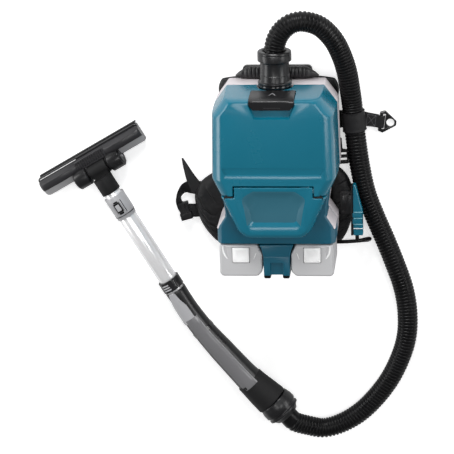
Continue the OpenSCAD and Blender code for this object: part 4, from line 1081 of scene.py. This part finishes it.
def make_padded():
    shapes = {title: remeshed(title, row[2]) for title, row in PADDED.items()}
    places = {title: v for title, (v, _) in shapes.items()}
    places = swollen(shapes)
    for title, (mat, fill, _, rounds, outline) in PADDED.items():
        verts = [v / MM for v in places[title]]
        if "strap" in title:
            # the straps turn over the top of the frame lower than their slack allows
            verts = [(x, y if y < TURN_Y else TURN_Y + (y - TURN_Y) * 0.4, z)
                     for x, y, z in verts]
        piece = fresh(f"{title}_cover", (verts, shapes[title][1]), mat, title, SMOOTH)
        if "pad" in title:
            kept_level(piece, 0.2, PAD_TOP)
        subdivided(piece, rounds)
        bake(piece, SMOOTH)
        if title in RELIEFS:
            relief, marks = RELIEFS[title]
            relief(piece, marks)
        kept_level(piece, 0.3, PAD_TOP if "pad" in title else SOFT_TOP)
        finish_mesh(piece.data, SMOOTH)
        hem(piece, outline, SEAM_Z)


def ribbon(name, rows, thick, cad=None, sides=14):
    """Flat webbing through rows of (x, y, z, width, and how many degrees it leans)."""
    dense, _ = smooth_path([row[:3] for row in rows], 1.6)
    n = len(dense) - 1
    w_stops = [(i / (len(rows) - 1), row[3] / 2) for i, row in enumerate(rows)]
    t_stops = [(i / (len(rows) - 1), math.radians(row[4])) for i, row in enumerate(rows)]
    rings = []
    for i, (c, t, s, u) in enumerate(frames(dense)):
        w, lean = ramp(w_stops, i / n), ramp(t_stops, i / n)
        a = s * math.cos(lean) + u * math.sin(lean)
        b = u * math.cos(lean) - s * math.sin(lean)
        ring = []
        for cx, cy in circle(sides, 0.5):
            # thin body with a slightly thicker woven edge
            body = thick / 2 * (0.82 + 0.18 * abs(cx))
            ring.append(tuple(c + a * (bulge(cx, 0.35) * w) + b * (bulge(cy, 0.5) * body)))
        rings.append(ring)
    fresh(name, skin(rings), WEBBING, cad, 50)


def make_belt():
    """The belt's loop round its buckle, and the two layers folded up beside the wing."""
    ribbon("belt_loop_left", [
        (-150, -68, 7, 27, 0), (-166, -66, 7.5, 27, 2), (-179, -67.5, 8.6, 25, 14),
        (-188, -75.5, 10.5, 22, 50), (-192.6, -87, 11.6, 20, 70), (-190.6, -98, 11.2, 20, 66),
        (-184, -107, 9.2, 22, 40), (-173, -111, 8, 25, 12), (-160, -111.5, 7.5, 26, 0),
        (-146, -111, 7, 26, 0)], 2.6, "belt_left")
    tail = [(-155, -71, 13), (-162, -58, 13), (-168.5, -45, 12.8), (-174.5, -31, 11.2),
            (-179.5, -19, 9), (-183.4, -9.5, 7)]
    ribbon("belt_fold_under", [(*p, w, lean) for p, w, lean in zip(
        tail, (24, 23, 19, 14, 9, 3), (0, 0, 3, 4, 2, 0))], 2.4, "belt_fold_left")
    ribbon("belt_fold_over", [(x + 0.8, y, z + 3.1, w, lean) for (x, y, z), w, lean in zip(
        tail, (22, 21, 16, 11, 7, 2.4), (0, -3, -6, -4, -2, 0))], 2.4)


def make_wing_roots():
    """Sewn roots that join the wings to the lower pad."""
    for side, inner, outer in (("left", -71.5, [-84, -83, -82.5, -82.5, -82, -83]),
                               ("right", 71.5, [80, 84, 86, 86, 86, 86])):
        rings = []
        for y, x in zip((-40, -52, -66, -80, -94, -108), outer):
            rings.append([(inner, y, 9), (x, y, 8), (x, y, 17), (x, y, 24.5), (inner, y, 24),
                          (inner, y, 16)])
        subdivided(fresh(f"wing_root_{side}", skin(rings), CLOTH, sharp=60), 2)


# the hose band: a cloth sleeve on a webbing strap that runs out to the ring
BAND_AT = Vector((137, 67, 22))
BAND_TURN = Matrix.Rotation(math.radians(5.77), 4, "Z")
WEB_TURN = Matrix.Rotation(math.radians(-8), 4, "Z")
BAND_HALF, SLEEVE_R, SLEEVE_BORE = 18.0, 22.0, 20.3
STITCH = 2.6


def make_hose_band():
    sleeve = []
    for i in range(13):
        y = -BAND_HALF + BAND_HALF * i / 6
        end = min(i, 12 - i)
        # a stitched lip at each end, and soft rings between them
        swell = 0.35 if end == 0 else -0.35 if end == 1 else 0.15 * math.sin(i * 1.7)
        ring = []
        for cx, cz in circle(56):
            r = SLEEVE_R + swell + 0.3 * noise.noise(Vector((cx * 2, y * 0.12, cz * 2)))
            ring.append((r * cx, y, max(r * cz, -21.0)))
        sleeve.append(ring)
    inner = [[(SLEEVE_BORE * cx, y, SLEEVE_BORE * cz) for cx, cz in circle(56)]
             for y in (BAND_HALF, -BAND_HALF)]
    place = Matrix.Translation(BAND_AT) @ BAND_TURN
    fresh("hose_sleeve", moved(skin(sleeve + inner, loop=True), place), CLOTH, "hose_band", 50)
    # the strap under the hose, out through the ring's slot and back
    flat = Matrix.Translation((BAND_AT.x, BAND_AT.y, 0))
    web = flat @ WEB_TURN
    ribbon("ring_strap_under", [(*(turn @ Vector((x, 0, z))), w, 0) for turn, x, z, w in (
        (flat @ BAND_TURN, -29, 3.0, 34), (flat @ BAND_TURN, -20, 2.6, 32), (web, 0, 2.4, 28),
        (web, 20, 2.8, 28), (web, 32, 2.9, 26), (web, 45, 3.1, 24))], 2.8)
    ribbon("ring_strap_over", [(*(web @ Vector((x, 0, z))), w, 0) for x, z, w in (
        (55.0, 2.8, 24), (55.6, 5.0, 24), (54.2, 7.6, 24), (49, 7.8, 24), (42, 6.8, 24),
        (33, 6.4, 25), (20, 6.0, 26))], 2.0)
    # box-and-cross stitching through both layers
    a, b, c, d = (23.5, -10.5), (39.5, -10.5), (39.5, 10.5), (23.5, 10.5)
    stitch = lathe([(0, -0.9), (0.32, -0.6), (0.38, 0), (0.32, 0.6), (0, 0.9)], (0, 0, 0),
                   (1, 0, 0), 6, False)
    dashes = []
    for (ax, ay), (bx, by) in ((a, b), (b, c), (c, d), (d, a), (a, c), (b, d)):
        length = math.hypot(bx - ax, by - ay)
        turn = Matrix.Rotation(math.atan2(by - ay, bx - ax), 4, "Z")
        count = int(length / STITCH)
        for k in range(count):
            f = (k + 0.5) / count
            x, y = ax + (bx - ax) * f, ay + (by - ay) * f
            z = ramp([(20, 7.0), (33, 7.4), (42, 7.8)], x)
            dashes.append(moved(stitch, web @ Matrix.Translation((x, y, z)) @ turn))
    fresh("ring_strap_stitches", join(*dashes), GREY, sharp=60)


make_padded()
make_belt()
make_wing_roots()
make_hose_band()

# ------------------------------------------------------------ carry handle

GRIP_HALF, GRIP_LOW, GRIP_BASE = 76.0, 153.4, 36.2


def make_carry_handle():
    """Moulded sleeve that tapers to both ends, with rows of rounded finger bumps."""
    rings = []
    count = 152
    for i in range(count + 1):
        x = -GRIP_HALF + 2 * GRIP_HALF * i / count
        u = abs(x)
        deep = ramp([(0, 21.5), (50, 21.5), (60, 18), (70, 11), (76, 5)], u)
        tall = ramp([(0, 12.4), (52, 12.4), (64, 9.5), (76, 4.0)], u)
        bump = abs(math.sin(math.pi * (u - 24) / 7)) ** 0.7 if 24 < u < 59 else 0.0
        deep += 1.2 * bump
        tall += 1.4 * bump
        rings.append([(x, GRIP_LOW + deep / 2 * (1 + bulge(cx, 0.75)),
                       GRIP_BASE + tall / 2 * (1 + bulge(cz, 0.75))) for cx, cz in circle(28)])
    fresh("carry_grip", skin(rings), BLACK, "carry_handle", 40)


def make_adjuster():
    """Plastic strap adjuster at the right: a stepped frame with slots and grip bars."""
    place = Matrix.Translation((114, 6, 0)) @ Matrix.Rotation(math.radians(4), 4, "Z")
    form = stack([(-11, -25), (11, -25), (11, 1.5), (1.5, 3.5), (1.5, 25), (-11, 25)], 2.0, 3,
                 (9.0, 0.5), (9.6, 0), (12.6, 0), (13.2, 0.6))
    frame_piece = fresh("adjuster_frame", moved(form, place), BLACK, "strap_adjuster", 30)
    for x1, y0, y1 in ((8, -18.6, -13.4), (8, -8, -3), (-1.5, 8, 20)):
        cut(frame_piece, moved(box(-8, x1, y0, y1, 5, 20), place), sharp=30)
    bars = [box(-9.5, x1, y0, y1, 12.6, 15.2) for x1, y0, y1 in (
        (9.5, -22.6, -19.6), (9.5, -12.2, -9.4), (0.5, 21.2, 23.6))]
    bevel(fresh("adjuster_bars", moved(join(*bars), place), BLACK), 0.6, 2, 30)


make_carry_handle()
make_adjuster()

# ------------------------------------------------- wand, handle and nozzle

WAND = Matrix.Translation((-289, -111, 34)) @ Matrix.Rotation(math.radians(WAND_ANGLE), 4, "Z")


def arc_steps(a0, a1, count):
    return [math.radians(a0 + (a1 - a0) * k / count) for k in range(count + 1)]


def arc_ring(r0, r1, y, turn):
    """Outline between two radii over the angles of a turn, across the wand at y."""
    return ([(r1 * math.cos(a), y, r1 * math.sin(a)) for a in turn]
            + [(r0 * math.cos(a), y, r0 * math.sin(a)) for a in turn[::-1]])


def patch(name, r0, r1, a0, a1, y0, y1, mat, body, count=16):
    """Curved plate lying on the wand: radii, angles from its right side, and lengths."""
    rings = []
    arc = arc_steps(a0, a1, count)
    for y, shrink in ((y0, 0.06), (y0 + 1.2, 0.0), (y1 - 1.2, 0.0), (y1, 0.06)):
        mid = (arc[0] + arc[-1]) / 2
        turn = [mid + (a - mid) * (1 - shrink) for a in arc]
        rings.append(arc_ring(r0, r1, y, turn))
    piece = fresh(name, moved(skin(rings), WAND), mat, sharp=40, body=body)
    bevel(piece, 0.4, 2, 40)
    return piece


def make_wand():
    # black window with its light key on the collar, and the twin one on the handle
    window = patch("collar_window", 18.4, 20.5, 58, 118, 8, 35, GLOSS, "unit")
    cut(window, moved(box(-6.7, 6.7, 11.8, 32.2, 10, 26), WAND), sharp=40)
    patch("collar_key_cap", 22.2, 22.9, 79, 101, 15.6, 28.4, SILVER, "collar_key", 6)
    patch("handle_window", 20.5, 21.9, 66, 150, -168.2, -147.8, GLOSS, "bleed_ring")
    for k in range(3):
        y = -152.0 - 4.8 * k
        patch(f"handle_bar_{k + 1}", 21.7, 22.6, 92 - 2 * k, 128, y - 2.6, y, SILVER,
              "bleed_ring", 6)
    # light grey sleeve that widens down the handle's neck
    rows = [arc_ring(20, 21.7, y, arc_steps(a0, a1, 14)) for y, a0, a1 in (
        (-240, 70, 166), (-236, 66, 170), (-204, 70, 162), (-188, 84, 142), (-176, 88, 128),
        (-172.0, 92, 124))]
    bevel(fresh("handle_sleeve", moved(skin(rows), WAND), SILVER, sharp=40), 0.4, 2, 40)
    # thin seams where the tube enters its collar and its handle
    for name, y, r in (("tube_seam_upper", 4.2, 20.2), ("tube_seam_lower", -147.6, 21.1)):
        ring = lathe([(r - 1.8, -0.8), (r, -0.6), (r, 0.6), (r - 1.8, 0.8)], (0, y, 0),
                     (0, 1, 0), 56)
        fresh(name, moved(ring, WAND), BLACK, sharp=40)


BOOT = [(-68, -440, 34), (-54, -454.5, 34), (-40, -468.5, 34), (-25, -483, 34)]


def make_boot():
    """Matt rubber boot that widens from the handle to the hose end."""
    path, _ = smooth_path(BOOT, 2.0)
    n = len(path) - 1
    stops = [(0, 26.4, 25.6), (0.03, 27.8, 27.0), (0.25, 28.6, 27.8), (0.6, 30.6, 30.0),
             (0.94, 32.2, 31.6), (0.97, 32.4, 31.8), (1, 31.6, 31.0)]
    wide, tall = [(f, w) for f, w, _ in stops], [(f, h) for f, _, h in stops]
    rings = []
    for i, (c, t, s, u) in enumerate(frames(path)):
        w, h = ramp(wide, i / n), ramp(tall, i / n)
        rings.append([tuple(c + s * (w * x) + u * (h * y)) for x, y in circle(64)])
    fresh("handle_boot", skin(rings), MATT, sharp=40)
    # dark band where the grip inlay starts
    at, away = Vector((-152, -339.5, 34)), Vector((33, -40.5, 0)).normalized()
    band = lathe([(20.6, -5), (22.2, -4), (22.4, 4), (20.6, 5)], at, away, 56)
    fresh("handle_band", band, GLOSS, sharp=40)


NOZZLE_X, NOZZLE_HALF = -5.0, 110.0


def hump(x):
    """How far the leaf-shaped rise on either side of the nozzle stands up, 0 to 1."""
    return ramp([(0, 0), (0.26, 0), (0.40, 0.62), (0.52, 0.95), (0.66, 1.0), (0.85, 0.72),
                 (1, 0.35)], abs(x - NOZZLE_X) / NOZZLE_HALF)


def make_nozzle():
    stations = [-1, -0.985, -0.955, -0.9, -0.8, -0.7, -0.6, -0.5, -0.42, -0.34, -0.27, -0.2, 0]
    stations += [-s for s in stations[-2::-1]]
    rings = []
    for f in stations:
        x = NOZZLE_X + NOZZLE_HALF * f
        low = 3.2 * (max(0.0, abs(f) - 0.95) / 0.05) ** 2  # the ends curve down and in
        h = -11.5 + 8.6 * hump(x) - low
        lip = -17.5 - 0.6 * low
        ring = [(137.6 - low, -30), (138.2 - low, -27), (138.2 - low, lip - 2.6),
                (136.4 - low, lip), (133.4 - low, lip - 0.4), (130, lip + (h - lip) * 0.45),
                (126.0, h - 0.7), (121, h), (115.5, h - 1.0), (112.8, h - 2.8),
                (111.6, -14.6 - low * 0.5), (100.2 + low, -20.6), (98.6 + low, -25),
                (99.0 + low, -30)]
        rings.append([(x, y, z) for y, z in ring])
    form = skin(rings)
    # strips along the profile: charcoal on the top, the light band behind it
    strips = [0, 0, 0, 0, 1, 1, 1, 1, 1, 0, 2, 0, 0, 0]
    picks = [strips[f[0] % len(strips)] if len(f) == 4 else 0 for f in form[1]]
    body = fresh("nozzle_hood", moved(form, WAND), [GLOSS, CHARCOAL, SILVER_BAND], "nozzle_body",
                 30, body="nozzle", picks=picks)
    cut(body, moved(box(-18, 18, 84, 106.5, -34, 0), WAND), sharp=30)
    bevel(body, 0.5, 2, 26)
    # ears that hold the axle
    for s, side in SIDES:
        x0, x1 = sorted((s * 18.5, s * 22.5))
        disc = rod(8.5, 0, x1 - x0, (x0, 98, -15.5), (1, 0, 0), 40)
        web = box(x0, x1, 98, 110, -24, -9)
        bevel(fresh(f"nozzle_ear_{side}", moved(join(disc, web), WAND), CHARCOAL, body="nozzle"),
              0.4)
    # comb insert with its slots
    form = stack([(-36, 113), (26, 113), (26, 131), (-36, 131)], 2, 4, (-14, 0), (-10.6, 0),
                 (-10.0, 0.7))
    plate = fresh("nozzle_comb", moved(form, WAND), CHARCOAL, body="nozzle")
    slots = [moved(box(-34.2 + 5 * k, -31.6 + 5 * k, 115.2, 129, -12.6, -8), WAND)
             for k in range(12)]
    cut(plate, join(*slots), sharp=30)
    # white strip along the left half of the front lip: painted highlight that stands for the shine
    # on the glossy lip
    fresh("nozzle_lip_highlight", moved(box(-110, -30, 134.2, 135.2, -17.6, -16.9), WAND), BRIGHT,
          body="nozzle")


make_wand()
make_boot()
make_nozzle()

# ------------------------------------------------------------- control pod

POD = [(135.2, -144.3), (153.2, -144.3), (153.2, -99), (140.2, -46), (135.2, -46)]
POD_SIDE = [(131.0, -144.3), (135.0, -144.3), (135.0, -45.2), (131.6, -48)]
POD_TOP = 57.0


def make_pod():
    form = stack(POD, [1.2, 2.5, 14, 2, 1], 4, (42.2, 0.6), (43, 0), (54.5, 0), (56.2, 0.6),
                 (POD_TOP, 1.6))
    case = fresh("pod_case", form, TEAL, "control_pod", 26)
    room = [box(134, 152.2, y - 5.1, y + 5.1, 51, 60) for y in (-104.3, -116.1)]
    cut(case, *room, sharp=26)
    bevel(case, 0.4, 2, 30)
    form = stack(POD_SIDE, 1.0, 3, (42.0, 0.3), (43, 0), (55.2, 0), (56.4, 0.7))
    fresh("pod_side", form, BLACK, sharp=30)
    # pale blue and white bars between and below the pod's keys: painted highlights that stand for
    # the glints on the edges of the grooves between the keys
    for k, y in enumerate((-98.4, -110.2, -121.9, -130)):
        bar = box(136.0, 152.6, y - 0.75, y + 0.75, 56.0, 58.2)
        bevel(fresh(f"pod_rib_{k + 1}", bar, PALE_GLINT if k < 3 else BRIGHT), 0.35, 2, 30)


make_pod()

# ------------------------------------------------------ carried-over nodes

CARRIED = {title: finish for finish, titles in (
    (BLACK, "back_frame fan_shroud battery_dock_left battery_dock_right waist_buckle "
            "strap_adjuster pod_clip cable_gland handle_cuff handle_shell cover_latch "
            "inlet_cuff wheel_left wheel_right air_slider carry_handle"),
    (TEAL, "front_panel control_pod dust_cover power_button mode_button"),
    (FABRIC, "back_pad_upper back_pad_lower shoulder_strap_left shoulder_strap_right"),
    (GLOSS, "inlet_port ring_buckle collar_button"),
    (GHOST, "bag_collar battery_left battery_right"),
    (RUBBER, "cover_gasket control_cable hose"),
    (BRIGHT, "fan_impeller battery_button_left battery_button_right"),
    (WEBBING, "belt_left belt_fold_left hose_band"),
    (FLEECE, "dust_bag filter_cassette"),
    (TEAL_DARK, "motor_housing stand_foot"),
    # the hinge pins in matt black are painted shade in the hinge slots; the nozzle's neck is matt
    # black
    (MATT, "hinge_pins nozzle_neck"),
    (CHROME_WHITE_SHINE, "tube_outer tube_inner"),
    (STEEL, "motor_shaft nozzle_axle"),
    (CLOTH, "hip_wing_left hip_wing_right"),
    (WHITE, "rear_shell"),
    (MOTOR, "motor"),
    (BOARD, "control_board"),
    (GRIP, "grip_inlay"),
    (SILVER, "tube_collar"),
    (CHARCOAL, "nozzle_body"),
    (GREY, "sole_plate"),
    (BRISTLE, "brush_strips")) for title in titles.split()}
# broken edges wider than the usual 0.4 mm, in millimetres
SHINY_EDGES = {"rear_shell": 1.0, "nozzle_body": 1.0, "nozzle_neck": 0.8, "handle_cuff": 0.6}
for title, obj in NODES.items():
    mesh = obj.data
    if not mesh.materials:
        mesh.materials.append(CARRIED[title])
    for holder in obj.material_slots:
        holder.material = CARRIED[title]
    # the exact solid stays; its edges are broken and its curves shaded smooth
    for f in mesh.polygons:
        f.use_smooth = True
    obj.modifiers.new("weld", "WELD").merge_threshold = WELD_GAP
    bevel(obj, SHINY_EDGES.get(title, 0.4), 2, 30)
    obj.modifiers.new("edges", "EDGE_SPLIT").split_angle = math.radians(26)
